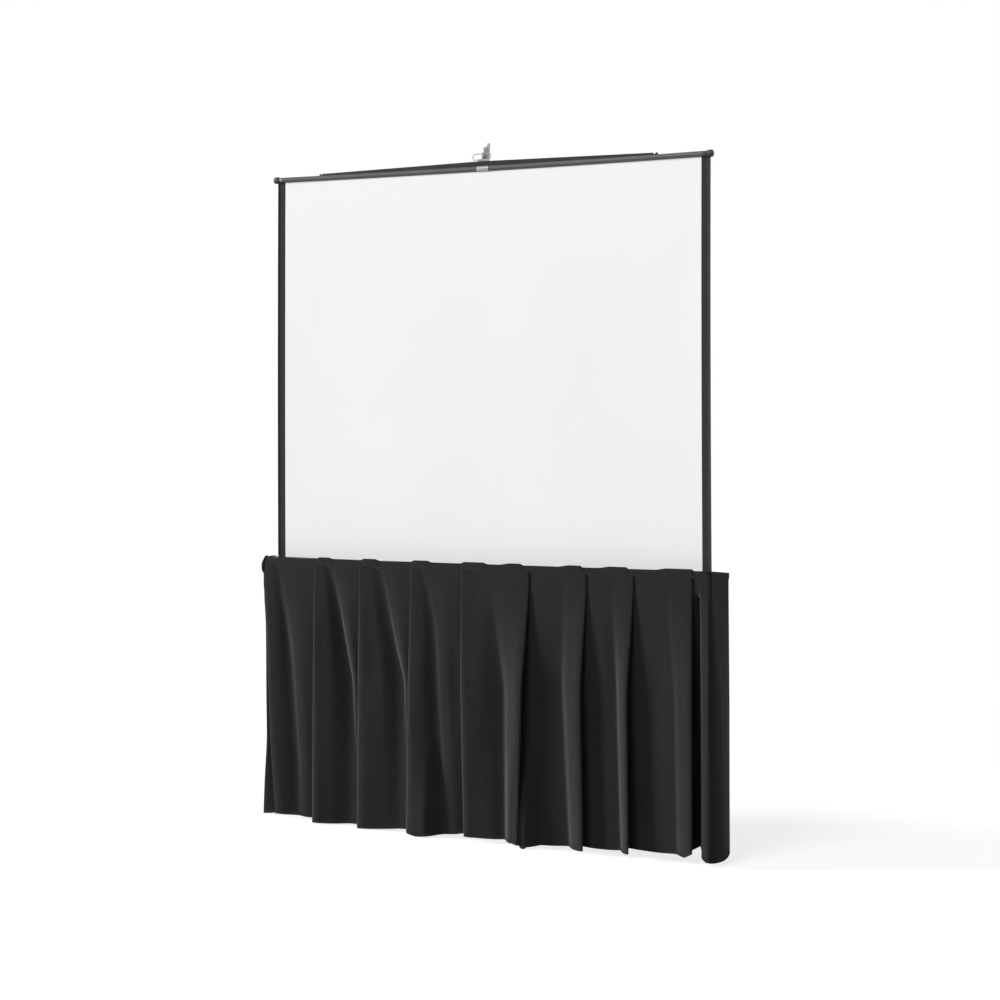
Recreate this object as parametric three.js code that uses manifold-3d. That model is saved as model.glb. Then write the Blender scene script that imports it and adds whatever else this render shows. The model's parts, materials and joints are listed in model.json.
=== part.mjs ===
// A portable tripod projection screen with a pleated black skirt.
// Millimetres, +Z up; the viewing side faces -Y. The origin is on the floor under the middle of the part.
import * as THREE from "three";
import { mergeVertices } from "three/addons/utils/BufferGeometryUtils.js";
import Module from "manifold-3d";

const wasm = await Module();
wasm.setup();

// Clearances and finish
const gap = 0.3; // between pieces that seat on each other
const slideGap = 0.4; // between tubes that slide in each other
const turnGap = 0.4; // beside ears, tongues and links that turn
const overrun = 5; // how far a cutting tool runs past what it cuts
const roundSides = 20;
const smallSides = 10;

// Screen cloth
const viewWidth = 1778;
const maskWidth = 32;
const clothThickness = 1;
const clothTuck = 5; // how deep the cloth sits in the slat's groove
const clothWidth = viewWidth + 2 * maskWidth;

// Top slat and what hangs it
const slatDiameter = 21;
const slatWall = 1.2;
const slatGroove = 2.4;
const slatHeight = 2564; // height of its centre above the floor
const slatCapDiameter = 27;
const slatCapLength = 22;
const slatCapPlug = 15;
const slatCapDome = 6.6; // rounding of the cap's outer end
const bailThickness = 3;
const bailReach = 716; // from the middle to each end clip
const bailNub = 12;
const bailEnd = 4.5; // height of the bail at its ends
const bailCrown = 10.5; // how much higher it is at the middle
const bailClipWidth = 8;
const clipWall = 1.5;
const centreClipWidth = 50;
const barrelWidth = 40;
const loopWire = 4;
const loopWidth = 77;
const loopRise = 25;
const loopLean = 12; // how far the loop's top leans back to its hook
const loopCorner = 12;

// Mast, carriage tube and column, one inside the other
const columnSetback = 42; // column axis behind the cloth
const mastDiameter = 26;
const mastWall = 1.2;
const mastRise = 79; // the mast's top above the slat's middle
const mastLength = 1308;
const carriageDiameter = 30.4;
const carriageWall = 1.4;
const carriageTop = 1480;
const carriageLength = 1100;
const columnDiameter = 35;
const columnWall = 1.6;
const hubHeight = 590; // leg pivots above the floor
const clampRise = 100; // the column's top above the leg pivots
const columnTop = hubHeight + clampRise;
const columnBottom = 60;
const bushingLength = 30;
const plugDepth = 12;
const plugRim = 5;

// Mast head
const capHeight = 9;
const capWall = 1.6;
const capDome = 3;
const earHeight = 22;
const earThickness = 1.6;
const earDepth = 11;
const armThickness = 3;
const armWidth = 11;
const armLength = 200;
const armPinDiameter = 5;
const armNotch = 5;
const armNotches = 4;
const armNotchPitch = 26;
const hookWidth = 12;
const hookPlate = 2.5;
const hookLip = 9;
const hookBand = 16;

// Clamps
const sleeveWall = 5;
const sleeveHeight = 62;
const sleeveSkirt = 24; // how far the sleeve grips the tube below it
const bossDiameter = 20;
const bossLength = 12;
const knobDiameter = 44;
const knobThickness = 16;
const knobLobes = 5;
const knobLobeDepth = 2.2; // half the depth of the hollows between the lobes
const knobBevel = 3.2;
const knobStem = 9;
const knobStemLength = 6;
const knobThread = 8;
const mastSleeveHeight = 52;
const leverWidth = 14;
const leverLength = 46;
const leverThickness = 5;
const leverEar = 3.3;
const leverPinDiameter = 4;
const leverToe = 7.5; // how far the lever's end kicks out

// Case and its fittings
const caseDepth = 76;
const caseHeight = 80;
const caseEndRoom = 17; // how far the case runs past the cloth at each end
const caseWall = 1.2;
const caseCorner = 16;
const caseSlot = 11;
const caseTop = 1044;
const capPlate = 12;
const capProud = 3;
const capSpigot = 14;
const tapeHeight = 24;
const tapeThickness = 2;
const rollDiameter = 48; // roller with the last turns of cloth on it
const rollerDiameter = 40;
const rollerWall = 0.9;
const rollerProud = 4; // how far the roller runs past the cloth at each end
const rollerPlugLength = 18;
const gudgeonDiameter = 10;
const gudgeonDepth = 6; // how far a roller pin goes into its end cap
const rollBelowTop = 46;
const springDiameter = 24;
const springWire = 3;
const springTurns = 16;
const springPitch = 11;

// Case bracket and handle
const bracketHeight = 44;
const bracketWall = 4;
const bracketWidth = 70;
const pivotDiameter = 10;
const pivotHead = 18;
const pivotHeadHeight = 6;
const pivotLength = 12; // how deep the pivot bolt goes into the bracket
const handleSpan = 144;
const handleDrop = 38;
const handleWire = 7;
const handleCorner = 12;
const handleGripDiameter = 15;
const handleGripLength = 70;
const handleOffset = 330;
const handleRise = 10; // hinge above the middle of the case
const handleLugWidth = 14;
const handleLugHeight = 20;

// Legs
const pivotRadius = 34; // leg and collar pivots from the column axis
const footRadius = 255; // feet from the column axis
const hubRingHeight = 44;
const hubRingWall = 4;
const earPlate = 4;
const legDiameter = 20;
const legWall = 1.5;
const tongueThickness = 6;
const tongueLength = 26;
const tongueWidth = 15;
const hubEarRoot = 21; // height of a hub ear where it leaves the ring
const legPinDiameter = 6;
const pinHead = 2;
const footBall = 32;
const footFlat = 0.8; // how much of the ball is worn flat on the floor
const footSleeve = 30;
const footWall = 3;
const braceReach = 140; // from leg pivot to brace pivot, and the brace's own length
const braceWidth = 12;
const braceThickness = 3;
const braceStandoff = 0.5;
const collarHeight = 30;
const collarWall = 4;
const collarEar = 3;
const collarSlotUp = 0.6;
const collarSlotDown = 6;
const legCount = 3;

// Skirt
const skirtProud = 11; // the skirt's top above the case's
const skirtTilt = 9.5; // the heading is this much higher at the right end than at the middle
const skirtLength = 1042; // from the top down to the hem
const skirtClear = 17; // how far below the case it starts to open
const skirtSideRoom = 9.7; // between the case's ends and the skirt's middle layer
const skirtThickness = 3;
const pleatRise = 3.8; // how far the fold edges stand out at the top
const skirtFrontHem = 92; // in front of the screen cloth, at the fold edges
const skirtBackHem = 80; // the same behind the folds at the middle of the skirt
const skirtSideHem = 1; // and behind the folds at its ends
const skirtCornerHem = 66;
const skirtCornerInset = 16; // how far the front corners draw in at the hem
const skirtReturn = 115; // how far the ends reach back
const skirtFlare = 24; // how far the ends belly out at the hem
const skirtStep = 9;
const skirtRows = 7;
const returnSteps = 6;
const panelSwell = 5;
const footSpread = 200; // twice the radius that the cloth takes where a foot pushes it out
const headingHeight = 34;
const headingThickness = 1.6;
const leftFoldShares = [0.746, 0.529, 0.291, 0.05]; // fold edges left of the middle, facing left
const rightFoldShares = [0.224, 0.479, 0.67, 0.934]; // fold edges right of the middle, facing right

// Colours, roughness and metalness
function paint(color, roughness, metalness) {
  return new THREE.MeshStandardMaterial({ color, roughness, metalness });
}
const chrome = paint(0xc9ccd0, 0.18, 1);
const blackPaint = paint(0x1c1c1e, 0.45, 0.3);
const blackPlastic = paint(0x161617, 0.5, 0);
const greySteel = paint(0x9a9ca0, 0.35, 0.9);
const satinBlack = paint(0x2b2c2e, 0.35, 0.4);
const rubber = paint(0x111112, 0.85, 0);
const whiteCloth = paint(0xf1f2f3, 0.9, 0);
const blackCloth = paint(0x222224, 0.95, 0);

// Geometry as a solid, and back
function solidOf(geometry) {
  const bare = geometry.index ? geometry.toNonIndexed() : geometry.clone();
  bare.deleteAttribute("normal");
  bare.deleteAttribute("uv");
  const merged = mergeVertices(bare, 1e-3);
  const vertProperties = merged.attributes.position.array;
  const triVerts = new Uint32Array(merged.index.array);
  return new wasm.Manifold(new wasm.Mesh({ numProp: 3, vertProperties, triVerts }));
}

function geometryOf(solid) {
  const mesh = solid.getMesh();
  const geometry = new THREE.BufferGeometry();
  geometry.setAttribute("position", new THREE.BufferAttribute(new Float32Array(mesh.vertProperties), 3));
  geometry.setIndex(new THREE.BufferAttribute(new Uint32Array(mesh.triVerts), 1));
  geometry.computeVertexNormals();
  return geometry;
}

function join(...shapes) {
  return geometryOf(shapes.map(solidOf).reduce((whole, next) => whole.add(next)));
}

function cut(shape, ...tools) {
  return geometryOf(tools.map(solidOf).reduce((left, tool) => left.subtract(tool), solidOf(shape)));
}

// A mirror image across X = 0, with its faces still pointing out
function mirroredX(shape) {
  const geometry = shape.clone().scale(-1, 1, 1);
  const index = geometry.index.array;
  for (let i = 0; i < index.length; i += 3) [index[i + 1], index[i + 2]] = [index[i + 2], index[i + 1]];
  return geometry;
}

// A closed profile of [radius, height] pairs turned about Z, taken anticlockwise so that its faces point out
function revolve(profile, sides = roundSides) {
  const outline = profile.map(([r, z]) => new THREE.Vector2(r, z));
  if (THREE.ShapeUtils.area(outline) < 0) outline.reverse();
  const touchesAxis = profile.some(([r]) => r === 0);
  if (touchesAxis) {
    while (outline[0].x !== 0 || outline[outline.length - 1].x !== 0) outline.push(outline.shift());
  } else {
    outline.push(outline[0].clone());
  }
  const geometry = new THREE.LatheGeometry(outline, sides);
  geometry.rotateX(Math.PI / 2);
  return geometry;
}

// A ring about Z between two radii and two heights
function ring(outer, inner, low, high, sides = roundSides) {
  return revolve([[inner, low], [outer, low], [outer, high], [inner, high]], sides);
}

function disc(radius, low, high, sides = roundSides) {
  const geometry = new THREE.CylinderGeometry(radius, radius, high - low, sides);
  geometry.rotateX(Math.PI / 2);
  geometry.translate(0, 0, (low + high) / 2);
  return geometry;
}

// The same shapes with their axis laid along X or Y
function alongX(geometry) {
  return geometry.applyMatrix4(new THREE.Matrix4().makeBasis(unitY, unitZ, unitX));
}

function alongY(geometry) {
  return geometry.applyMatrix4(new THREE.Matrix4().makeBasis(unitZ, unitX, unitY));
}

const unitX = new THREE.Vector3(1, 0, 0);
const unitY = new THREE.Vector3(0, 1, 0);
const unitZ = new THREE.Vector3(0, 0, 1);

function block(x, y, z) {
  return new THREE.BoxGeometry(x, y, z);
}

function moved(geometry, x, y, z) {
  return geometry.clone().translate(x, y, z);
}

// A flat outline in Y and Z, drawn out along X and centred on X = 0
function drawnX(shape, length, curveSegments = 8) {
  const geometry = new THREE.ExtrudeGeometry(shape, { depth: length, bevelEnabled: false, curveSegments });
  geometry.translate(0, 0, -length / 2);
  return alongX(geometry);
}

// A rectangle with round corners, as a shape or as a path for a hole
function roundedOutline(halfWidth, halfHeight, corner, shape = new THREE.Shape()) {
  shape.moveTo(halfWidth - corner, -halfHeight);
  shape.absarc(halfWidth - corner, -halfHeight + corner, corner, -Math.PI / 2, 0);
  shape.absarc(halfWidth - corner, halfHeight - corner, corner, 0, Math.PI / 2);
  shape.absarc(-halfWidth + corner, halfHeight - corner, corner, Math.PI / 2, Math.PI);
  shape.absarc(-halfWidth + corner, -halfHeight + corner, corner, Math.PI, Math.PI * 1.5);
  shape.closePath();
  return shape;
}

// A round wire swept along an open path
function wire(path, diameter, steps, sides = 8) {
  const section = new THREE.Shape();
  for (let i = 0; i < sides; i++) {
    const angle = (i / sides) * Math.PI * 2;
    const x = (Math.cos(angle) * diameter) / 2;
    const y = (Math.sin(angle) * diameter) / 2;
    if (i === 0) section.moveTo(x, y);
    else section.lineTo(x, y);
  }
  section.closePath();
  return new THREE.ExtrudeGeometry(section, { steps, extrudePath: path, bevelEnabled: false });
}

// A grid of points, closed or open each way, made a surface
function gridSurface(points, across, down, closedAcross, closedDown) {
  const index = [];
  for (let j = 0; j < (closedDown ? down : down - 1); j++) {
    for (let i = 0; i < (closedAcross ? across : across - 1); i++) {
      const a = j * across + i;
      const b = j * across + ((i + 1) % across);
      const c = ((j + 1) % down) * across + i;
      const d = ((j + 1) % down) * across + ((i + 1) % across);
      index.push(a, b, d, a, d, c);
    }
  }
  const geometry = new THREE.BufferGeometry();
  geometry.setAttribute("position", new THREE.Float32BufferAttribute(points, 3));
  geometry.setIndex(index);
  return geometry;
}

const part = new THREE.Group();

function add(name, geometry, material, parent = part) {
  const mesh = new THREE.Mesh(geometry, material);
  mesh.name = name;
  parent.add(mesh);
  return mesh;
}

// Heights and places that several pieces share
const mastTop = slatHeight + mastRise;
const caseLength = clothWidth + 2 * caseEndRoom;
const slatRadius = slatDiameter / 2;
const columnRadius = columnDiameter / 2;
const carriageRadius = carriageDiameter / 2;
const mastRadius = mastDiameter / 2;
const caseMiddle = caseTop - caseHeight / 2;
const rollHeight = caseTop - rollBelowTop;
const rollRadius = rollDiameter / 2;
const rollSetback = -(rollRadius + gap + clothThickness / 2); // the cloth leaves the roll at Y = 0
const caseSetback = rollSetback;
const bailSeat = slatRadius + gap;
const bailPeak = bailSeat + bailEnd + bailCrown;

// Screen cloth, from its tangent on the roll up through the mouth of the case into the slat's groove
const clothTop = slatHeight - slatRadius + clothTuck;
const clothSheet = block(clothWidth, clothThickness, clothTop - rollHeight);
add("screen_cloth", moved(clothSheet, 0, 0, (clothTop + rollHeight) / 2), whiteCloth);

// Slat: a round tube with a groove below for the cloth
const slat = new THREE.Group();
slat.position.set(0, 0, slatHeight);
part.add(slat);
const slatLength = clothWidth;
const slatTube = alongX(ring(slatRadius, slatRadius - slatWall, -slatLength / 2, slatLength / 2));
const grooveCut = moved(block(slatLength + overrun, slatGroove, slatRadius), 0, 0, -slatRadius);
add("slat_tube", cut(slatTube, grooveCut), satinBlack, slat);

function slatCap(side) {
  const r = slatCapDiameter / 2;
  const plug = slatRadius - slatWall - gap;
  const profile = [[0, -slatCapPlug], [plug, -slatCapPlug], [plug, 0], [r - clipWall, 0], [r, clipWall]];
  const steps = 4;
  for (let i = 0; i <= steps; i++) {
    const angle = ((i / steps) * Math.PI) / 2;
    const rim = slatCapDome * Math.cos(angle);
    profile.push([r - slatCapDome + rim, slatCapLength - slatCapDome + slatCapDome * Math.sin(angle)]);
  }
  profile.push([0, slatCapLength]);
  const cap = alongX(revolve(profile, smallSides * 2));
  const slotLength = slatCapPlug + overrun;
  const slot = moved(block(slotLength, slatGroove, slatRadius), -slotLength / 2, 0, -slatRadius);
  const grooved = cut(cap, slot);
  if (side < 0) grooved.rotateZ(Math.PI);
  grooved.translate(side * (slatLength / 2 + gap), 0, 0);
  return grooved;
}
add("slat_cap_left", slatCap(-1), blackPlastic, slat);
add("slat_cap_right", slatCap(1), blackPlastic, slat);

// Bail: a flat bar on edge along the slat's top, cut as a shallow inverted V
const bailHalf = bailReach + bailNub;
const bailOutline = new THREE.Shape();
bailOutline.moveTo(-bailHalf, bailSeat);
bailOutline.lineTo(bailHalf, bailSeat);
bailOutline.lineTo(bailHalf, bailSeat + bailEnd);
bailOutline.lineTo(0, bailPeak);
bailOutline.lineTo(-bailHalf, bailSeat + bailEnd);
bailOutline.closePath();
const bailBar = new THREE.ExtrudeGeometry(bailOutline, { depth: bailThickness, bevelEnabled: false });
bailBar.translate(0, 0, -bailThickness / 2).rotateX(Math.PI / 2);
add("bail", bailBar, blackPaint, slat);

// A clip that goes round the slat and over a bail of the given top
function clip(width, bailTop) {
  const half = width / 2;
  const outer = bailSeat + clipWall;
  const band = alongX(ring(outer, bailSeat, -half, half));
  const room = bailThickness + 2 * gap;
  const roof = bailTop + gap;
  const hood = moved(block(width, room + 2 * clipWall, roof + clipWall), 0, 0, (roof + clipWall) / 2);
  const slot = moved(block(width + overrun, room, roof), 0, 0, roof / 2);
  const core = alongX(disc(bailSeat, -half - overrun, half + overrun));
  const mouth = moved(block(width + overrun, slatGroove + 2 * clipWall, slatRadius), 0, 0, -bailSeat);
  return cut(join(band, hood), slot, core, mouth);
}
const bailClip = clip(bailClipWidth, bailSeat + bailEnd + bailCrown * (bailNub / bailHalf));
add("bail_clip_left", moved(bailClip, -bailReach, 0, 0), chrome, slat);
add("bail_clip_right", moved(bailClip, bailReach, 0, 0), chrome, slat);

// Centre clip: a saddle over the slat and the bail, with a barrel above for the hanging loop
const loopRadius = loopWire / 2;
const loopBarrel = bailPeak + 2 * gap + clipWall + loopRadius;
const barrelHalf = barrelWidth / 2;
const barrelOuter = alongX(disc(loopRadius + gap + clipWall, -barrelHalf, barrelHalf, smallSides));
const barrelBore = alongX(disc(loopRadius + gap + gap / 2, -centreClipWidth, centreClipWidth, smallSides));
const barrelled = join(clip(centreClipWidth, bailPeak), moved(barrelOuter, 0, 0, loopBarrel));
const bailSlot = block(centreClipWidth * 2, bailThickness + 2 * gap, bailPeak);
const bailRoom = moved(bailSlot, 0, 0, bailPeak / 2 + gap);
add("centre_clip", cut(barrelled, moved(barrelBore, 0, 0, loopBarrel), bailRoom), chrome, slat);

// Hanging loop: a closed wire, its lower run in the barrel, leaning back to the hook
function loopGeometry() {
  const rise = Math.hypot(loopRise, loopLean);
  const outline = roundedOutline(loopWidth / 2, rise / 2, loopCorner);
  const centres = outline.getSpacedPoints(36).slice(0, -1);
  const sides = 6;
  const points = [];
  centres.forEach((centre, i) => {
    const before = centres[(i + centres.length - 1) % centres.length];
    const after = centres[(i + 1) % centres.length];
    const along = after.clone().sub(before).normalize();
    const outX = along.y;
    const outZ = -along.x;
    for (let k = 0; k < sides; k++) {
      const angle = (k / sides) * Math.PI * 2;
      const out = Math.cos(angle) * loopRadius;
      points.push(centre.x + outX * out, Math.sin(angle) * loopRadius, centre.y + outZ * out);
    }
  });
  const geometry = gridSurface(points, sides, centres.length, true, true);
  geometry.translate(0, 0, rise / 2);
  geometry.rotateX(-Math.atan2(loopLean, loopRise));
  return geometry.translate(0, 0, loopBarrel);
}
add("hanging_loop", loopGeometry(), chrome, slat);

// Column group: everything about the column's own axis
const column = new THREE.Group();
column.position.set(0, columnSetback, 0);
part.add(column);

// Mast with its bottom bushing, top cap with ears, front hook, arm and pin
const mastInner = mastRadius - mastWall;
const mastBottom = mastTop - mastLength;
add("mast_tube", ring(mastRadius, mastInner, mastBottom + bushingLength / 2, mastTop), chrome, column);
const bushingOuter = carriageRadius - carriageWall - slideGap / 2;
const mastBushing = join(
  ring(bushingOuter, mastInner - 2 * mastWall, mastBottom, mastBottom + bushingLength / 2 - gap),
  ring(mastInner - gap, mastInner - 2 * mastWall, mastBottom, mastBottom + bushingLength),
);
add("mast_bushing", mastBushing, blackPlastic, column);

const armSetback = mastRadius + gap + capWall + turnGap + armWidth / 2;
const headRise = mastTop + gap;
const armPinRise = earHeight - earDepth / 2;
const armPinHeight = headRise + armPinRise;
const armPinRadius = armPinDiameter / 2;
const capOuter = mastRadius + gap + capWall;
function earOutline() {
  const far = armSetback + earDepth / 2;
  const shape = new THREE.Shape();
  shape.moveTo(-mastRadius / 2, 0);
  shape.lineTo(far - earDepth / 2, 0);
  shape.lineTo(far, armPinRise - earDepth / 2);
  shape.lineTo(far, armPinRise);
  shape.absarc(armSetback, armPinRise, earDepth / 2, 0, Math.PI);
  shape.lineTo(armSetback - earDepth / 2, earDepth);
  shape.lineTo(-mastRadius / 2, earDepth / 4);
  return shape;
}
const earOffset = armThickness / 2 + turnGap + earThickness / 2;
const domeSteps = 4;
const capProfile = [[0, headRise], [capOuter, headRise]];
for (let i = 0; i < domeSteps; i++) {
  const angle = ((i / domeSteps) * Math.PI) / 2;
  capProfile.push([capOuter * Math.cos(angle), headRise + capWall + capDome * Math.sin(angle)]);
}
capProfile.push([0, headRise + capWall + capDome]);
const capSleeve = ring(capOuter, mastRadius + gap, mastTop - capHeight, headRise + capWall / 2);
const headCap = join(capSleeve, revolve(capProfile));
const ears = [-1, 1].map((side) => moved(drawnX(earOutline(), earThickness), side * earOffset, 0, headRise));
const pinReach = earOffset + earThickness / 2;
function boreX(radius, reach, y, z) {
  return moved(alongX(disc(radius, -reach - overrun, reach + overrun, smallSides)), 0, y, z);
}
const headBore = boreX(armPinRadius + gap / 2, pinReach, armSetback, armPinHeight);
add("mast_head", cut(join(headCap, ...ears), headBore), chrome, column);

// A pin along X with a head at each end
function pinX(radius, reach, head) {
  const flange = radius + head;
  const inner = reach + gap / 2;
  const outer = inner + head;
  const profile = [[0, -outer], [flange, -outer], [flange, -inner], [radius, -inner]];
  profile.push([radius, inner], [flange, inner], [flange, outer], [0, outer]);
  return alongX(revolve(profile, smallSides));
}
const armPin = pinX(armPinRadius, pinReach, earThickness / 2);
add("arm_pin", moved(armPin, 0, armSetback, armPinHeight), greySteel, column);

// Keystone arm: a notched strip, folded down behind the mast at rest
function armGeometry() {
  const half = armWidth / 2;
  const notch = armNotch / 2;
  const shape = new THREE.Shape();
  shape.absarc(0, 0, half, 0, Math.PI);
  shape.lineTo(-half, half - armLength);
  shape.absarc(0, half - armLength, half, Math.PI, Math.PI * 2);
  for (let i = 0; i < armNotches; i++) {
    const z = armWidth - armLength + i * armNotchPitch;
    shape.lineTo(half, z);
    shape.absarc(half - notch, z + notch, notch, -Math.PI / 2, -Math.PI * 1.5, true);
    shape.lineTo(half, z + armNotch);
  }
  return cut(drawnX(shape, armThickness, 6), boreX(armPinRadius + gap / 2, armThickness, 0, 0));
}
add("keystone_arm", moved(armGeometry(), 0, armSetback, armPinHeight), chrome, column);

// Front hook: a band round the mast with a lipped plate that the loop hangs on
const loopTopHeight = slatHeight + loopBarrel + loopRise;
const loopTopY = loopLean - columnSetback;
const hookSeat = loopTopHeight - loopRadius * 2 - gap;
const hookReach = loopTopY - loopRadius - gap - hookPlate;
function hookOutline() {
  const back = -mastRadius - gap / 2;
  const shape = new THREE.Shape();
  shape.moveTo(back, hookSeat - hookPlate * 2);
  shape.lineTo(back, hookSeat);
  shape.lineTo(hookReach + hookPlate, hookSeat);
  shape.lineTo(hookReach + hookPlate, hookSeat + hookLip);
  shape.lineTo(hookReach, hookSeat + hookLip);
  shape.lineTo(hookReach, hookSeat - hookPlate * 2);
  return shape;
}
const hookRing = ring(capOuter, mastRadius + gap, hookSeat - hookBand, hookSeat);
const hookBore = disc(mastRadius + gap, hookSeat - hookBand - overrun, hookSeat + overrun);
add("mast_hook", cut(join(hookRing, drawnX(hookOutline(), hookWidth)), hookBore), chrome, column);

// Carriage tube with its bottom guide
const carriageInner = carriageRadius - carriageWall;
const carriageBottom = carriageTop - carriageLength;
const carriageTube = ring(carriageRadius, carriageInner, carriageBottom + bushingLength / 2, carriageTop);
add("carriage_tube", carriageTube, greySteel, column);
const guideInner = carriageInner - carriageWall;
const guideShoulder = carriageBottom + bushingLength / 2 - gap;
const carriageGuide = join(
  ring(columnRadius - columnWall - slideGap / 2, guideInner, carriageBottom, guideShoulder),
  ring(carriageInner - gap, guideInner, carriageBottom, carriageBottom + bushingLength),
);
add("carriage_guide", carriageGuide, blackPlastic, column);

// Column tube and bottom plug
const columnTube = ring(columnRadius, columnRadius - columnWall, columnBottom, columnTop);
add("column_tube", columnTube, satinBlack, column);
const plugRadius = columnRadius - columnWall - gap;
const columnPlug = join(
  disc(columnRadius + gap, columnBottom - gap - plugRim, columnBottom - gap),
  disc(plugRadius, columnBottom - plugRim, columnBottom + plugDepth),
);
add("column_plug", columnPlug, blackPlastic, column);

// A plastic sleeve seated over the top of the wider tube, with a shoulder over the tube's end
function sleeve(tubeRadius, sliderRadius, tubeTop, height) {
  const grip = tubeRadius + gap;
  const outer = grip + sleeveWall;
  const bore = sliderRadius + slideGap;
  const low = tubeTop - sleeveSkirt;
  const seat = tubeTop + gap;
  const profile = [[grip, low], [outer, low], [outer, low + height - sleeveWall]];
  profile.push([outer - sleeveWall, low + height]);
  profile.push([bore, low + height], [bore, seat], [grip, seat]);
  return revolve(profile);
}

// Column clamp: the sleeve with a boss at the back for the knob's screw
const columnSleeveOuter = columnRadius + gap + sleeveWall;
const columnSleeveTop = columnTop - sleeveSkirt + sleeveHeight;
const knobHeight = (columnTop + columnSleeveTop) / 2;
const bossFace = columnSleeveOuter + bossLength;
const columnSleeve = sleeve(columnRadius, carriageRadius, columnTop, sleeveHeight);
const boss = moved(alongY(disc(bossDiameter / 2, columnRadius, bossFace)), 0, 0, knobHeight);
const screwBore = alongY(disc(knobThread / 2 + gap, carriageRadius, bossFace + overrun, smallSides));
const screwHole = moved(screwBore, 0, 0, knobHeight);
const slideBore = disc(carriageRadius + slideGap, columnTop + gap, columnSleeveTop + overrun);
add("column_clamp", cut(join(columnSleeve, boss), screwHole, slideBore), blackPlastic, column);

// Clamp knob: a lobed knob on a short screw that presses on the carriage tube
function knobGeometry() {
  const shape = new THREE.Shape();
  const points = 35;
  for (let i = 0; i < points; i++) {
    const angle = (i / points) * Math.PI * 2;
    const radius = knobDiameter / 2 - knobLobeDepth * (1 - Math.cos(knobLobes * angle));
    const x = radius * Math.cos(angle);
    const y = radius * Math.sin(angle);
    if (i === 0) shape.moveTo(x, y);
    else shape.lineTo(x, y);
  }
  shape.closePath();
  const bevel = knobBevel;
  const depth = knobThickness - 2 * bevel;
  const edges = { bevelThickness: bevel, bevelSize: bevel, bevelOffset: -bevel, bevelSegments: 1 };
  const head = new THREE.ExtrudeGeometry(shape, { depth, ...edges });
  head.translate(0, 0, bossFace + turnGap + knobStemLength + bevel);
  const stem = disc(knobStem, bossFace + turnGap, bossFace + turnGap + knobStemLength + bevel, smallSides);
  const screw = disc(knobThread / 2, carriageRadius + slideGap / 2, bossFace + knobStemLength, smallSides);
  return alongY(join(head, stem, screw));
}
add("clamp_knob", moved(knobGeometry(), 0, 0, knobHeight), blackPlastic, column);

// Mast clamp on the carriage tube, with ears at the back for the lock lever
const mastSleeveOuter = carriageRadius + gap + sleeveWall;
const mastSleeveTop = carriageTop - sleeveSkirt + mastSleeveHeight;
const leverSetback = mastSleeveOuter + leverThickness;
const leverHeight = mastSleeveTop - leverThickness * 2;
const leverPinRadius = leverPinDiameter / 2;
const leverEarOffset = leverWidth / 2 + turnGap + leverEar / 2;
const leverReach = leverEarOffset + leverEar / 2;
const leverEars = [-1, 1].map((side) => {
  const shape = new THREE.Shape();
  shape.moveTo(carriageRadius + gap + sleeveWall / 2, leverHeight - leverThickness * 2);
  shape.lineTo(leverSetback, leverHeight - leverThickness);
  shape.absarc(leverSetback, leverHeight, leverThickness, -Math.PI / 2, Math.PI / 2);
  shape.lineTo(carriageRadius + gap + sleeveWall / 2, leverHeight + leverThickness);
  return moved(drawnX(shape, leverEar), side * leverEarOffset, 0, 0);
});
const mastSleeve = sleeve(carriageRadius, mastRadius, carriageTop, mastSleeveHeight);
const leverBore = boreX(leverPinRadius + gap / 2, leverReach, leverSetback, leverHeight);
const mastBore = disc(mastRadius + slideGap, carriageTop + gap, mastSleeveTop + overrun);
const gripBore = disc(carriageRadius + gap, carriageTop - sleeveSkirt - overrun, carriageTop + gap);
add("mast_clamp", cut(join(mastSleeve, ...leverEars), leverBore, mastBore, gripBore), blackPlastic, column);
const leverPin = pinX(leverPinRadius, leverReach, leverEar / 3);
add("lever_pin", moved(leverPin, 0, leverSetback, leverHeight), greySteel, column);

function leverGeometry() {
  const half = leverThickness / 2;
  const shape = new THREE.Shape();
  shape.absarc(0, 0, leverThickness - turnGap, 0, Math.PI);
  shape.lineTo(turnGap - leverThickness, -half);
  shape.lineTo(half - leverThickness + turnGap, half - leverLength);
  shape.lineTo(leverToe, -leverLength);
  shape.lineTo(leverToe + half, half - leverLength);
  shape.lineTo(leverThickness - turnGap, -leverLength / 3);
  return cut(drawnX(shape, leverWidth), boreX(leverPinRadius + gap / 2, leverWidth, 0, 0));
}
add("mast_lever", moved(leverGeometry(), 0, leverSetback, leverHeight), blackPlastic, column);

// Leg hub: a ring on the column with a pair of ears for each leg
const hubInner = columnRadius + gap;
const hubOuter = hubInner + hubRingWall;
const legPinRadius = legPinDiameter / 2;
const earInset = tongueThickness / 2 + turnGap + earPlate / 2;
function hubEar(side) {
  const shape = new THREE.Shape();
  const half = tongueWidth / 2;
  shape.moveTo(hubInner + hubRingWall / 2, -hubEarRoot / 2);
  shape.lineTo(pivotRadius, -half);
  shape.absarc(pivotRadius, 0, half, -Math.PI / 2, Math.PI / 2);
  shape.lineTo(hubInner + hubRingWall / 2, hubEarRoot / 2);
  const ear = drawnX(shape, earPlate).rotateZ(-Math.PI / 2);
  return moved(ear, 0, side * earInset, 0);
}

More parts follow.
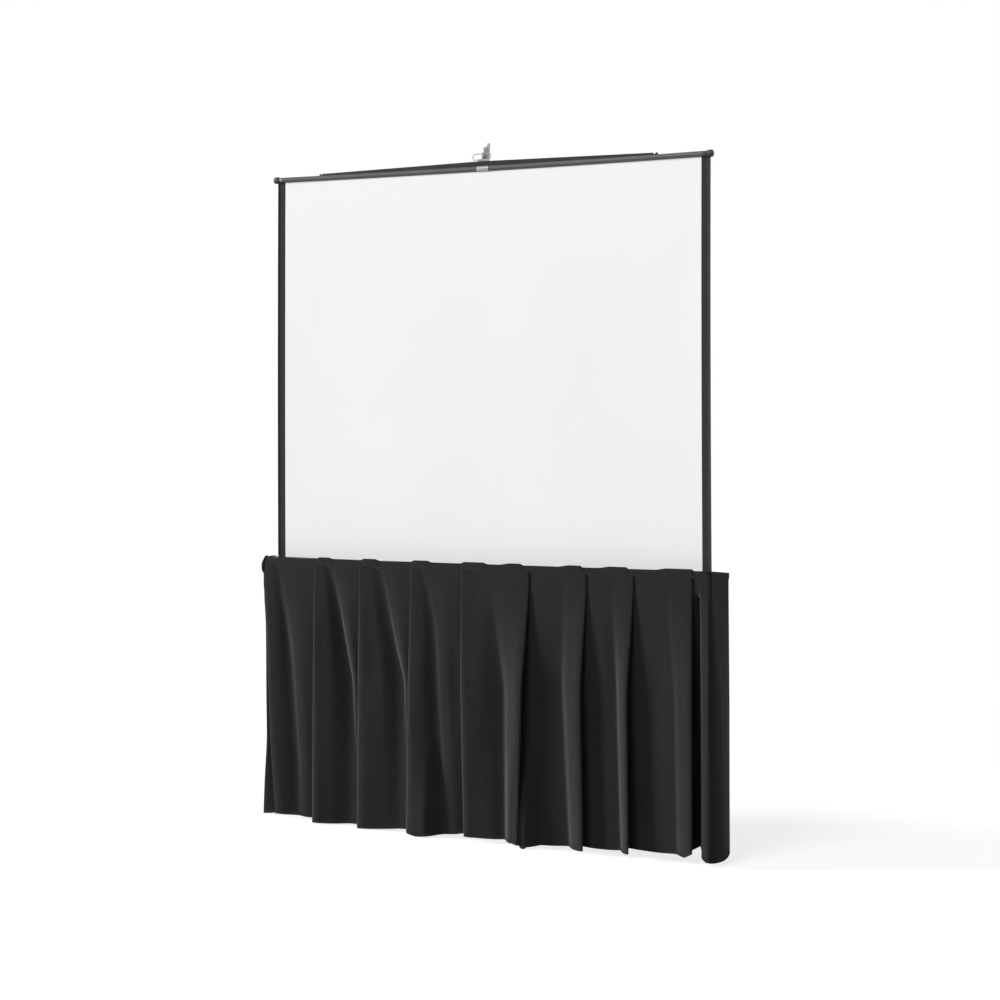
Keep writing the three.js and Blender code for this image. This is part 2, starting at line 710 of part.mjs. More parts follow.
function turnedTo(geometry, azimuth, z) {
  return geometry.clone().rotateZ(azimuth).translate(0, 0, z);
}
const azimuths = [-1 / 12, 3 / 12, 7 / 12].slice(0, legCount).map((share) => share * Math.PI * 2);
function pinY(radius, low, high, head) {
  const flange = radius + head;
  const profile = [[0, low - head], [flange, low - head], [flange, low], [radius, low]];
  profile.push([radius, high], [flange, high], [flange, high + head], [0, high + head]);
  return alongY(revolve(profile, smallSides));
}
const hubPinReach = earInset + earPlate / 2 + gap / 2;
const hubPair = [hubEar(-1), hubEar(1)];
const hubEars = azimuths.flatMap((azimuth) => hubPair.map((ear) => turnedTo(ear, azimuth, hubHeight)));
const boreReach = hubPinReach + overrun;
const hubPinBore = alongY(disc(legPinRadius + gap / 2, -boreReach, boreReach, smallSides));
hubPinBore.translate(pivotRadius, 0, 0);
const hubBores = azimuths.map((azimuth) => turnedTo(hubPinBore, azimuth, hubHeight));
const hubRing = ring(hubOuter, hubInner, hubHeight - hubRingHeight / 2, hubHeight + hubRingHeight / 2);
const hubClear = disc(hubInner, hubHeight - hubRingHeight, hubHeight + hubRingHeight);
add("leg_hub", cut(join(hubRing, ...hubEars), hubClear, ...hubBores), blackPaint, column);

// Legs, each with its foot, brace and pins. In a leg's own frame the origin is its pivot,
// -Z runs down the leg and Y along the hinge
const legRun = footRadius - pivotRadius;
const legFall = hubHeight - footBall / 2 + footFlat;
const legAngle = Math.atan2(legRun, legFall);
const legLength = Math.hypot(legRun, legFall);
const legRadius = legDiameter / 2;
const braceOffset = legRadius + braceStandoff + braceThickness / 2; // braces run beside their legs
const legPlacement = (azimuth) => new THREE.Matrix4()
  .makeRotationZ(azimuth)
  .multiply(new THREE.Matrix4().makeTranslation(pivotRadius, 0, hubHeight))
  .multiply(new THREE.Matrix4().makeRotationY(-legAngle));
const bracePlacement = (azimuth) => legPlacement(azimuth)
  .multiply(new THREE.Matrix4().makeTranslation(0, 0, -braceReach))
  .multiply(new THREE.Matrix4().makeRotationY(2 * legAngle));

function legTube() {
  const tube = ring(legRadius, legRadius - legWall, -legLength + footBall / 4, -tongueLength / 2);
  const bore = alongY(disc(legPinRadius / 2 + gap / 2, -legDiameter, legDiameter, smallSides));
  return cut(tube, moved(bore, 0, 0, -braceReach));
}

function legTongue() {
  const half = tongueWidth / 2;
  const shape = new THREE.Shape();
  shape.absarc(0, 0, half, 0, Math.PI);
  shape.lineTo(-half, -tongueLength);
  shape.lineTo(half, -tongueLength);
  const blade = drawnX(shape, tongueThickness).rotateZ(-Math.PI / 2);
  const seat = gap - tongueLength / 2;
  const collar = disc(legRadius, seat, seat + legWall * 2);
  const plug = disc(legRadius - legWall - gap, -tongueLength - legDiameter / 2, seat + legWall);
  const bore = alongY(disc(legPinRadius + gap / 2, -legDiameter, legDiameter, smallSides));
  return cut(join(blade, collar, plug), bore);
}

function footGeometry(azimuth) {
  const ball = footBall / 2;
  const grip = legRadius + gap;
  const top = -legLength + ball + footSleeve;
  const profile = [[0, -legLength - ball]];
  const steps = 6;
  for (let i = 1; i <= steps; i++) {
    const angle = (i / steps) * Math.PI * 0.75;
    profile.push([ball * Math.sin(angle), -legLength - ball * Math.cos(angle)]);
  }
  profile.push([grip + footWall, -legLength + ball], [grip + footWall, top], [grip, top]);
  profile.push([grip, -legLength + footBall / 4 - gap], [0, -legLength + footBall / 4 - gap]);
  const placed = revolve(profile).applyMatrix4(legPlacement(azimuth));
  const floor = moved(block(footRadius * 4, footRadius * 4, footBall), 0, 0, -footBall / 2);
  return cut(placed, floor);
}

const braceHalf = braceWidth / 2;
const bracePinRadius = legPinRadius / 2;
const collarEarOffset = braceOffset + braceThickness / 2 + turnGap + collarEar / 2;
function braceGeometry() {
  const shape = new THREE.Shape();
  shape.absarc(0, 0, braceHalf, 0, Math.PI);
  shape.lineTo(-braceHalf, -braceReach);
  shape.absarc(0, -braceReach, braceHalf, Math.PI, Math.PI * 2);
  const strip = moved(drawnX(shape, braceThickness, 6).rotateZ(-Math.PI / 2), 0, braceOffset, 0);
  const studEnd = collarEarOffset + collarEar / 2 + turnGap;
  const studShank = disc(bracePinRadius, braceOffset, studEnd, smallSides);
  const studHead = disc(bracePinRadius + legWall, studEnd, studEnd + legWall, smallSides);
  const stud = moved(alongY(join(studShank, studHead)), 0, 0, -braceReach);
  const rivet = pinY(bracePinRadius, -legRadius - gap, braceOffset + braceThickness / 2, legWall);
  return join(strip, stud, rivet);
}
const hubPin = pinY(legPinRadius, -hubPinReach, hubPinReach, pinHead);

azimuths.forEach((azimuth, i) => {
  const n = i + 1;
  const place = legPlacement(azimuth);
  add("leg_" + n, legTube().applyMatrix4(place), satinBlack, column);
  add("leg_end_" + n, legTongue().applyMatrix4(place), blackPlastic, column);
  add("leg_foot_" + n, footGeometry(azimuth), rubber, column);
  add("hub_pin_" + n, turnedTo(moved(hubPin, pivotRadius, 0, 0), azimuth, hubHeight), greySteel, column);
  add("brace_" + n, braceGeometry().applyMatrix4(bracePlacement(azimuth)), satinBlack, column);
});

// Spreader collar: a sleeve that slides on the column, with a slotted ear for each brace's stud
const collarHeightAtRest = hubHeight - 2 * braceReach * Math.cos(legAngle);
const collarInner = columnRadius + slideGap;
const collarOuter = collarInner + collarWall;
function collarEarGeometry() {
  const half = braceHalf;
  const shape = new THREE.Shape();
  shape.moveTo(collarInner / 2, -collarHeight / 2);
  shape.lineTo(pivotRadius, -half - collarSlotDown);
  shape.absarc(pivotRadius, -collarSlotDown, half, -Math.PI / 2, 0);
  shape.absarc(pivotRadius, collarSlotUp, half, 0, Math.PI / 2);
  shape.lineTo(collarInner / 2, collarHeight / 2);
  const plate = drawnX(shape, collarEar).rotateZ(-Math.PI / 2);
  const reach = bracePinRadius + gap;
  const slot = new THREE.Shape();
  slot.absarc(pivotRadius, collarSlotUp, reach, 0, Math.PI);
  slot.absarc(pivotRadius, -collarSlotDown, reach, Math.PI, Math.PI * 2);
  const slotCut = drawnX(slot, collarEar + 2 * overrun, 6).rotateZ(-Math.PI / 2);
  return moved(cut(plate, slotCut), 0, collarEarOffset, 0);
}
const collarEars = azimuths.map((azimuth) => turnedTo(collarEarGeometry(), azimuth, 0));
const collarRing = ring(collarOuter, collarInner, -collarHeight / 2, collarHeight / 2);
const collarBore = disc(collarInner, -collarHeight, collarHeight);
const collar = cut(join(collarRing, ...collarEars), collarBore);
add("spreader_collar", moved(collar, 0, 0, collarHeightAtRest), blackPlastic, column);

// Case group: its axis is the roller's
const screenCase = new THREE.Group();
screenCase.position.set(0, caseSetback, 0);
part.add(screenCase);

// End caps: a proud plate, a spigot inside the shell and a seat for the roller's pin
const capPlateStart = caseLength / 2 + gap;
const gudgeonRadius = gudgeonDiameter / 2;
const halfDepth = caseDepth / 2;
const halfHeight = caseHeight / 2;
function capGeometry() {
  const outline = roundedOutline(halfDepth + capProud, halfHeight + capProud, caseCorner + capProud);
  const plate = moved(drawnX(outline, capPlate, 4), capPlateStart + capPlate / 2, 0, caseMiddle);
  const outerInset = caseWall + gap;
  const innerInset = outerInset + caseWall;
  const inset = (by, path) => roundedOutline(halfDepth - by, halfHeight - by, caseCorner - by, path);
  const ringOutline = inset(outerInset);
  ringOutline.holes.push(inset(innerInset, new THREE.Path()));
  const spigotLength = capSpigot + capPlate / 2;
  const spigotStart = capPlateStart - capSpigot;
  const spigot = moved(drawnX(ringOutline, spigotLength, 4), spigotStart + spigotLength / 2, 0, caseMiddle);
  const slotMiddle = capPlateStart - capSpigot - gap;
  const slot = moved(block(2 * capSpigot, caseSlot, caseCorner * 2), slotMiddle, -caseSetback, caseTop);
  const seat = alongX(disc(gudgeonRadius + gap, -overrun, gudgeonDepth + gap, smallSides));
  return cut(join(plate, spigot), slot, moved(seat, capPlateStart, 0, rollHeight));
}
const caseCap = capGeometry();
add("case_cap_left", mirroredX(caseCap), blackPlastic, screenCase);
add("case_cap_right", caseCap, blackPlastic, screenCase);

// Roller: a tube with two plugs, carrying the last turns of cloth
const roller = new THREE.Group();
roller.position.set(0, 0, rollHeight);
screenCase.add(roller);
const rollerRadius = rollerDiameter / 2;
const rollerInner = rollerRadius - rollerWall;
const rollerHalf = clothWidth / 2 + rollerProud;
const pinEnd = capPlateStart + gudgeonDepth;
const plugInner = rollerHalf - rollerPlugLength;
add("roller_tube", alongX(ring(rollerRadius, rollerInner, -rollerHalf, rollerHalf)), greySteel, roller);
const clothRoll = alongX(ring(rollRadius, rollerRadius + gap, -clothWidth / 2, clothWidth / 2));
add("cloth_roll", clothRoll, whiteCloth, roller);
const rightPlug = join(
  disc(rollerInner - gap, plugInner, rollerHalf),
  disc(rollerRadius, rollerHalf + gap, rollerHalf + gap + rollerWall),
  disc(gudgeonRadius * 2, rollerHalf - gap, rollerHalf + 2 * gap),
  disc(gudgeonRadius, rollerHalf, pinEnd, smallSides),
);
add("roller_plug_right", alongX(rightPlug), blackPlastic, roller);
const leftPlug = cut(
  join(
    disc(rollerInner - gap, -rollerHalf, -plugInner),
    disc(gudgeonRadius * 2, -rollerHalf - 2 * gap, -rollerHalf + gap),
    disc(rollerRadius, -rollerHalf - gap - rollerWall, -rollerHalf - gap),
  ),
  disc(gudgeonRadius + gap, -rollerHalf - overrun, -plugInner + overrun, smallSides),
);
add("roller_plug_left", alongX(leftPlug), blackPlastic, roller);

// Spring and the fixed spindle that it winds on
const springRun = springTurns * springPitch + springWire;
const spindleFlange = -plugInner + springRun + 2 * gap;
const spindle = join(
  disc(gudgeonRadius, -pinEnd, spindleFlange + overrun, smallSides),
  disc(springDiameter / 2, spindleFlange, spindleFlange + overrun),
);
add("roller_spindle", alongX(spindle), greySteel, roller);

class Helix extends THREE.Curve {
  getPoint(share) {
    const angle = share * springTurns * Math.PI * 2;
    const radius = (springDiameter - springWire) / 2;
    const rise = share * springTurns * springPitch;
    return new THREE.Vector3(radius * Math.cos(angle), radius * Math.sin(angle), rise);
  }
}
const springStart = -plugInner + gap + springWire / 2;
const spring = moved(wire(new Helix(), springWire, springTurns * 8, 5), 0, 0, springStart);
add("roller_spring", alongX(spring), greySteel, roller);

// Bracket that holds the case on the carriage tube, and the pivot bolt
const caseBack = caseSetback + caseDepth / 2;
const bracketGrip = carriageRadius + gap;
const bracketFace = caseBack + gap - columnSetback;
const pivotRadiusOfBolt = pivotDiameter / 2;
const plateMiddle = bracketFace + bracketWall / 2;
const bracketPlate = moved(block(bracketWidth, bracketWall, bracketHeight), 0, plateMiddle, caseMiddle);
const webReach = -bracketGrip - bracketFace;
const webMiddle = bracketFace + webReach / 2;
const bracketWeb = moved(block(bracketWidth / 2, webReach, bracketHeight / 2), 0, webMiddle, caseMiddle);
const bracketLow = caseMiddle - bracketHeight / 2;
const bracketRing = ring(bracketGrip + bracketWall, bracketGrip, bracketLow, bracketLow + bracketHeight);
const bracketBore = disc(bracketGrip, caseMiddle - bracketHeight, caseMiddle + bracketHeight);
const boltDepth = Math.min(pivotLength, webReach);
const boltClear = pivotRadiusOfBolt + gap / 2;
const boltBore = alongY(disc(boltClear, -overrun, boltDepth, smallSides));
const bracketBody = join(bracketRing, bracketPlate, bracketWeb);
const bracket = cut(bracketBody, bracketBore, moved(boltBore, 0, bracketFace, caseMiddle));
add("case_bracket", bracket, blackPaint, column);
const headRadius = pivotHead / 2;
const headStart = bracketFace - gap - caseWall - gap;
const pivot = revolve([
  [0, headStart - pivotHeadHeight],
  [headRadius, headStart - pivotHeadHeight],
  [headRadius, headStart],
  [pivotRadiusOfBolt, headStart],
  [pivotRadiusOfBolt, bracketFace + boltDepth - gap],
  [0, bracketFace + boltDepth - gap],
], smallSides);
add("case_pivot", moved(alongY(pivot), 0, 0, caseMiddle), greySteel, column);

// Case shell: a rounded box section, open along its top where the cloth comes out, bored for the pivot
function shellOutline() {
  const outer = roundedOutline(halfDepth, halfHeight, caseCorner);
  const inner = new THREE.Path();
  outer.holes.push(roundedOutline(halfDepth - caseWall, halfHeight - caseWall, caseCorner - caseWall, inner));
  return outer;
}
const shell = moved(drawnX(shellOutline(), caseLength, 4), 0, 0, caseMiddle);
const mouthCut = moved(block(caseLength + 2 * overrun, caseSlot, caseCorner), 0, -caseSetback, caseTop);
const shellBore = alongY(disc(boltClear, halfDepth - overrun, halfDepth + overrun, smallSides));
add("case_shell", cut(shell, mouthCut, moved(shellBore, 0, 0, caseMiddle)), blackPaint, screenCase);

// Carry handle on the back of the case: two lugs, a bent wire and a grip
const handle = new THREE.Group();
const lugDepth = handleGripDiameter + 2 * gap;
handle.position.set(handleOffset, caseDepth / 2 + gap + lugDepth / 2, caseMiddle + handleRise);
screenCase.add(handle);
function lugGeometry(side) {
  const half = handleLugHeight / 2;
  const shape = new THREE.Shape();
  shape.moveTo(-lugDepth / 2, -half);
  shape.absarc(0, 0, lugDepth / 2, -Math.PI / 4, Math.PI / 4);
  shape.lineTo(-lugDepth / 2, half);
  const lug = moved(drawnX(shape, handleLugWidth, 5), (side * handleSpan) / 2, 0, 0);
  const bore = alongX(disc(handleWire / 2 + gap, -handleLugWidth, handleLugWidth, smallSides));
  return cut(lug, moved(bore, (side * handleSpan) / 2, 0, 0));
}
add("handle_lug_left", lugGeometry(-1), blackPlastic, handle);
add("handle_lug_right", lugGeometry(1), blackPlastic, handle);
const wireEnd = handleSpan / 2 + handleLugWidth / 2;
const wireLeg = handleSpan / 2 - handleLugWidth / 2 - handleWire - handleCorner / 2;
function roundedPath(points, corner) {
  const path = new THREE.CurvePath();
  let from = points[0];
  for (let i = 1; i < points.length - 1; i++) {
    const back = points[i - 1].clone().sub(points[i]).setLength(corner);
    const ahead = points[i + 1].clone().sub(points[i]).setLength(corner);
    const start = points[i].clone().add(back);
    const end = points[i].clone().add(ahead);
    path.add(new THREE.LineCurve3(from, start));
    path.add(new THREE.QuadraticBezierCurve3(start, points[i], end));
    from = end;
  }
  path.add(new THREE.LineCurve3(from, points[points.length - 1]));
  return path;
}
const handleHalf = [[wireLeg, -handleDrop], [wireLeg, 0], [wireEnd, 0]];
const handlePoints = [...handleHalf.map(([x, z]) => [-x, z]).reverse(), ...handleHalf];
const handlePath = roundedPath(handlePoints.map(([x, z]) => new THREE.Vector3(x, 0, z)), handleCorner);
add("carry_handle", wire(handlePath, handleWire, 30, 6), greySteel, handle);
const gripHalf = handleGripLength / 2;
const grip = alongX(ring(handleGripDiameter / 2, handleWire / 2 + gap, -gripHalf, gripHalf));
add("handle_grip", moved(grip, 0, 0, -handleDrop), rubber, handle);

// Touch tape along the front of the case, for the skirt
const caseFront = -caseDepth / 2;
const tape = block(caseLength, tapeThickness, tapeHeight);
const tapeY = caseFront - gap - tapeThickness / 2;
const tapeHeightAt = caseTop - caseCorner - tapeHeight / 2;
add("skirt_tape", moved(tape, 0, tapeY, tapeHeightAt), blackCloth, screenCase);

// A sheet with thickness, from rows of plan points [x, y, z] that run alongside each other
function sheet(rows, thickness) {
  const across = rows[0].length;
  const front = [];
  const back = [];
  rows.forEach((row) => {
    row.forEach(([x, y, z], i) => {
      const a = row[Math.max(i - 1, 0)];
      const b = row[Math.min(i + 1, across - 1)];
      const run = Math.hypot(b[0] - a[0], b[1] - a[1]);
      const nx = ((b[1] - a[1]) / run) * (thickness / 2);
      const ny = (-(b[0] - a[0]) / run) * (thickness / 2);
      front.push([x + nx, y + ny, z]);
      back.push([x - nx, y - ny, z]);
    });
  });
  const loops = rows.map((row, j) => {
    const outward = front.slice(j * across, (j + 1) * across);
    const inward = back.slice(j * across, (j + 1) * across).reverse();
    return [...outward, ...inward].flat();
  });
  const around = across * 2;
  const skin = gridSurface(loops.flat(), around, rows.length, true, false);
  const index = Array.from(skin.index.array);
  for (let i = 0; i < across - 1; i++) {
    const top = [i, i + 1, around - 1 - i, around - 2 - i];
    const low = top.map((n) => n + (rows.length - 1) * around);
    index.push(top[0], top[2], top[1], top[1], top[2], top[3]);
    index.push(low[0], low[1], low[2], low[1], low[3], low[2]);
  }
  skin.setIndex(index);
  const solid = solidOf(skin);
  if (solid.volume() > 0) return skin;
  for (let i = 0; i < index.length; i += 3) [index[i + 1], index[i + 2]] = [index[i + 2], index[i + 1]];
  return skin.setIndex(index);
}

// Skirt: one cloth that hangs from the tape, flat against the case and then in knife pleats across the front
const skirtTop = caseTop + skirtProud;
const skirtStraight = skirtProud + caseHeight + skirtClear;
const skirtHalf = capPlateStart + capPlate + skirtSideRoom;
const skirtBackTop = tapeThickness / 2 - tapeY + 2 * gap + skirtThickness / 2 - caseSetback;
const skirtFrontTop = skirtBackTop + pleatRise;
const footSide = footRadius * Math.cos(Math.PI / 6);
const footFront = footRadius / 2 + footBall / 2 + skirtThickness - columnSetback;

// How far in front of the screen cloth the skirt hangs, with its pleats opened by a share
function skirtDepth([x, atTop, atHem, proud], open) {
  const fromFoot = Math.abs(x) - footSide;
  const pushed = footFront + proud - (fromFoot * fromFoot) / footSpread;
  return THREE.MathUtils.lerp(atTop, Math.max(atHem, pushed), open);
}

// Corners of the pleats: place across, depth at the top and at the hem, and how far they stand off a foot
function pleatCorners(open) {
  const half = skirtStep / 2;
  const edge = skirtHalf - skirtCornerInset * open;
  const outer = (x) => [x, skirtFrontTop, skirtFrontHem, skirtStep];
  const inner = (x) => {
    const share = Math.abs(x) / skirtHalf;
    return [x, skirtBackTop, THREE.MathUtils.lerp(skirtBackHem, skirtSideHem, share), 0];
  };
  return [
    [-edge, skirtFrontTop, skirtCornerHem, 0],
    ...leftFoldShares.map((share) => -share * skirtHalf).flatMap((x) => [inner(x - half), outer(x + half)]),
    ...rightFoldShares.map((share) => share * skirtHalf).flatMap((x) => [outer(x - half), inner(x + half)]),
    [edge, skirtFrontTop, skirtCornerHem, 0],
  ];
}

function skirtPlan(open) {
  const corners = pleatCorners(open);
  const edge = corners[corners.length - 1];
  const end = [];
  for (let i = 0; i < returnSteps; i++) {
    const share = i / returnSteps;
    const belly = skirtFlare * open * Math.sin(share * Math.PI);
    const x = THREE.MathUtils.lerp(skirtHalf, edge[0], share) + belly;
    end.push([x, THREE.MathUtils.lerp(skirtReturn, -skirtDepth(edge, open), share)]);
  }
  const panels = [];
  corners.slice(1).forEach((corner, i) => {
    const from = corners[i];
    const pieces = corner[0] - from[0] > 2 * skirtStep ? 4 : 1;
    for (let k = 0; k < pieces; k++) {
      const share = k / pieces;
      const point = from.map((value, n) => THREE.MathUtils.lerp(value, corner[n], share));
      point[2] -= panelSwell * Math.sin(share * Math.PI);
      panels.push([point[0], -skirtDepth(point, open)]);
    }
  });
  panels.push([edge[0], -skirtDepth(edge, open)]);
  const right = end.map(([x, y]) => [x, y]).reverse();
  return [...end.map(([x, y]) => [-x, y]), ...panels, ...right];
}
function skirtTopAt(x) {
  return skirtTop + (skirtTilt * x) / skirtHalf;
}
const skirtSheet = [];
for (let j = 0; j < skirtRows; j++) {
  const open = Math.max(0, (j - 1) / (skirtRows - 2));
  const row = skirtPlan(open).map(([x, y]) => {
    const top = skirtTopAt(x);
    const start = j === 0 ? top : top - skirtStraight;
    return [x, y, THREE.MathUtils.lerp(start, top - skirtLength, open)];
  });
  skirtSheet.push(row);
}
add("skirt", sheet(skirtSheet, skirtThickness), blackCloth);

// Heading: the stitched band round the top of the skirt
const headingOut = skirtThickness / 2 + gap + headingThickness / 2;
const headingX = skirtHalf + headingOut;
const headingY = -skirtFrontTop - headingOut;
const headingRight = [[headingX, headingY], [headingX, skirtReturn]];
const headingPlan = [...headingRight.map(([x, y]) => [-x, y]).reverse(), ...headingRight];
function headingRow(drop) {
  return headingPlan.map(([x, y]) => [x, y, skirtTopAt(x) - drop]);
}
add("skirt_heading", sheet([headingRow(0), headingRow(headingHeight)], headingThickness), blackCloth);

// The origin is on the floor, under the middle of the part's box
const reach = new THREE.Box3().setFromObject(part);
const middle = reach.getCenter(new THREE.Vector3());
part.position.set(-middle.x, -middle.y, -reach.min.z);

export default part;
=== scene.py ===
import json
import math

import bpy
import numpy as np
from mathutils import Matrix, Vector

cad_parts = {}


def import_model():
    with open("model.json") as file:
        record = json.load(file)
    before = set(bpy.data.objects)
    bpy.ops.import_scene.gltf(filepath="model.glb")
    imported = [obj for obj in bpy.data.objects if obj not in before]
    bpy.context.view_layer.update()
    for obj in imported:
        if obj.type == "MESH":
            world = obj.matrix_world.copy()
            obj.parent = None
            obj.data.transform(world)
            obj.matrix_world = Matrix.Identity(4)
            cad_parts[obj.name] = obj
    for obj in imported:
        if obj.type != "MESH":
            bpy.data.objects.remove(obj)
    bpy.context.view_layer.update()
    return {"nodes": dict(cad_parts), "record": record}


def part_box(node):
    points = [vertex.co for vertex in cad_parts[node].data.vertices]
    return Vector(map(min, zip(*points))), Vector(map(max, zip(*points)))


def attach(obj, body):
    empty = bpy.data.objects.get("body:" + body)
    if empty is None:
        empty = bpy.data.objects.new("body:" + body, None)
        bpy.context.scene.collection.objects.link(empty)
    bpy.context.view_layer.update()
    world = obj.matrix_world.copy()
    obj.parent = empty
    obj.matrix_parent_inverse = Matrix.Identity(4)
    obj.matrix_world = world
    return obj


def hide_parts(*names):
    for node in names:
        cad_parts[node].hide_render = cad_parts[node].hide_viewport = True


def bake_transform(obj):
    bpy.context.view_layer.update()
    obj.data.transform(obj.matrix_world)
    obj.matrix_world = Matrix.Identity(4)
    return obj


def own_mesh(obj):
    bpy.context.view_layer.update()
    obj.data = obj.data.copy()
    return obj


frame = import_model()
SLOT_OF = {entry["node"]: entry["material_slot"] for entry in frame["record"]["subparts"]}

# Where the frame puts what the soft pieces follow, in metres: x to the viewers' right,
# y away from them and z up
low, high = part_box("screen_cloth")
CLOTH_Y = (low[1] + high[1]) / 2
CLOTH_HALF = (high[0] - low[0]) / 2
CLOTH_TOP = high[2]
ROLL_Z = low[2]
HEADING_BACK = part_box("skirt_heading")[1][1]
SLAT_LOW, SLAT_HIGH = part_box("slat_tube")
SLAT_AXIS = ((SLAT_LOW[1] + SLAT_HIGH[1]) / 2, (SLAT_LOW[2] + SLAT_HIGH[2]) / 2)
BAIL_LOW, BAIL_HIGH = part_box("bail")

# Camera: the photograph's eye, level, from the viewers' right, with the frame shifted down
EYE = (3.359, CLOTH_Y - 6.433, 1.668)
LOOK = (-0.454, 0.891)  # x and y of the direction it looks in
FOCAL_SHARE = 1.897  # focal length over the picture's width
HORIZON_SHARE = 0.098  # how far the horizon lies above the picture's middle
SENSOR_MM = 36.0
FARTHEST = 100.0


def add_camera():
    data = bpy.data.cameras.new("photo_camera")
    data.sensor_width = SENSOR_MM
    data.lens = FOCAL_SHARE * data.sensor_width
    data.shift_y = -HORIZON_SHARE
    data.clip_end = FARTHEST
    camera = bpy.data.objects.new("photo_camera", data)
    camera.location = EYE
    camera.rotation_euler = (math.pi / 2, 0.0, math.atan2(-LOOK[0], LOOK[1]))
    bpy.context.scene.collection.objects.link(camera)
    bpy.context.scene.camera = camera


# Nodes of a material
class Nodes:
    """A material's node tree, with short calls for the nodes that this scene uses."""

    def __init__(self, name):
        self.material = bpy.data.materials.new(name)
        self.material.use_nodes = True
        self.tree = self.material.node_tree
        self.shader = self.tree.nodes["Principled BSDF"]
        self.output = self.tree.nodes["Material Output"]

    def put(self, node, values):
        """Fills a node's inputs: a value that is another node's output is linked, and a plain one
        is written on the socket."""
        for name, value in values.items():
            if hasattr(value, "links"):
                self.tree.links.new(value, node.inputs[name])
            else:
                node.inputs[name].default_value = value

    def add(self, kind, values=None, **settings):
        made = self.tree.nodes.new(kind)
        for key, value in settings.items():
            setattr(made, key, value)
        self.put(made, values or {})
        return made

    def coords(self, which="Object"):
        return self.add("ShaderNodeTexCoord").outputs[which]

    def split(self, vector):
        return self.add("ShaderNodeSeparateXYZ", {0: vector}).outputs

    def stretched(self, vector, scale):
        return self.add("ShaderNodeMapping", {"Vector": vector, "Scale": scale}).outputs["Vector"]

    def noise(self, vector, scale, detail=4.0, roughness=0.5):
        values = {"Vector": vector, "Scale": scale, "Detail": detail, "Roughness": roughness}
        return self.add("ShaderNodeTexNoise", values).outputs["Fac"]

    def wave(self, vector, scale, direction):
        values = {"Vector": vector, "Scale": scale}
        made = self.add("ShaderNodeTexWave", values, wave_type="BANDS", bands_direction=direction)
        return made.outputs["Fac"]

    def math(self, operation, first, second=0.0):
        made = self.add("ShaderNodeMath", {0: first, 1: second}, operation=operation)
        return made.outputs["Value"]

    def between(self, value, low, high, to_low=0.0, to_high=1.0):
        """Carries a value from one range over to another, and holds it inside that."""
        values = {"Value": value, "From Min": low, "From Max": high}
        values |= {"To Min": to_low, "To Max": to_high}
        return self.add("ShaderNodeMapRange", values).outputs["Result"]

    def mix(self, share, first, second):
        made = self.add("ShaderNodeMix", {"Factor": share}, data_type="RGBA")
        places = [k for k, socket in enumerate(made.inputs) if socket.type == "RGBA"]
        for k, colour in zip(places, (first, second)):
            self.put(made, {k: colour if hasattr(colour, "links") else (*colour, 1.0)})
        return [s for s in made.outputs if s.type == "RGBA"][0]

    def shades(self, pattern, span, colours):
        """The first colour where a pattern is below a span, the second where it is above."""
        return self.mix(self.between(pattern, *span), *colours)

    def bump(self, height, strength, distance, below=None):
        values = {"Strength": strength, "Distance": distance, "Height": height}
        if below is not None:
            values["Normal"] = below
        return self.add("ShaderNodeBump", values).outputs["Normal"]

    def finished(self, colour, roughness, normal, constants=None):
        """The material with its looks on the shader; its constants go by their sockets' names."""
        values = {"Base Color": colour, "Roughness": roughness, "Normal": normal}
        self.put(self.shader, values | (constants or {}))
        return self.material


def grey(value, tint=(0.0, 0.0, 0.0)):
    return tuple(value + t for t in tint)


# Materials: the two colours of each vary over it by a pattern
SCREEN_WHITE = ((0.868, 0.880, 0.886), (0.892, 0.897, 0.899))
MASK_INK = ((0.019, 0.019, 0.020), (0.027, 0.027, 0.028))
DRAPE_BLACK = ((0.0175, 0.0175, 0.0182), (0.0225, 0.0225, 0.0232))
STITCH_THREAD = (0.045, 0.045, 0.047)
CLOTH_LEFT, CLOTH_RIGHT = -0.926, 0.931  # the outer edges of the cloth's masks
MASK_WIDTH = 0.0355
MASK_BLUR = 0.0004
STITCH_LINE = 0.003  # the stitching's height above the band's lower edge
STITCH_PITCH = 1600.0  # radians of the dashes' sine in a metre
ALONG_X = (0.02, 1.0, 1.0)  # scales that stretch a pattern into lines
ALONG_Z = (1.0, 1.0, 0.02)


def white_cloth():
    """Matt white screen fabric with a fine weave, and the black mask printed down each side."""
    n = Nodes("white_screen_cloth")
    place = n.coords()
    middle = (CLOTH_LEFT + CLOTH_RIGHT) / 2
    inner = (CLOTH_RIGHT - CLOTH_LEFT) / 2 - MASK_WIDTH
    aside = n.math("ABSOLUTE", n.math("SUBTRACT", n.split(n.coords("UV"))["X"], middle))
    mask = n.between(aside, inner - MASK_BLUR, inner + MASK_BLUR)
    white = n.shades(n.noise(place, scale=2.2, detail=2.0), (0.3, 0.7), SCREEN_WHITE)
    ink = n.shades(n.noise(place, scale=40.0), (0.3, 0.7), MASK_INK)
    threads = n.math("MULTIPLY", n.wave(place, 210.0, "X"), n.wave(place, 210.0, "Z"))
    lint = n.math("MULTIPLY", n.noise(place, scale=900.0, detail=2.0), 0.6)
    normal = n.bump(n.math("ADD", threads, lint), strength=0.12, distance=0.0004)
    return n.finished(n.mix(mask, white, ink), 0.88, normal, {"Specular IOR Level": 0.25})


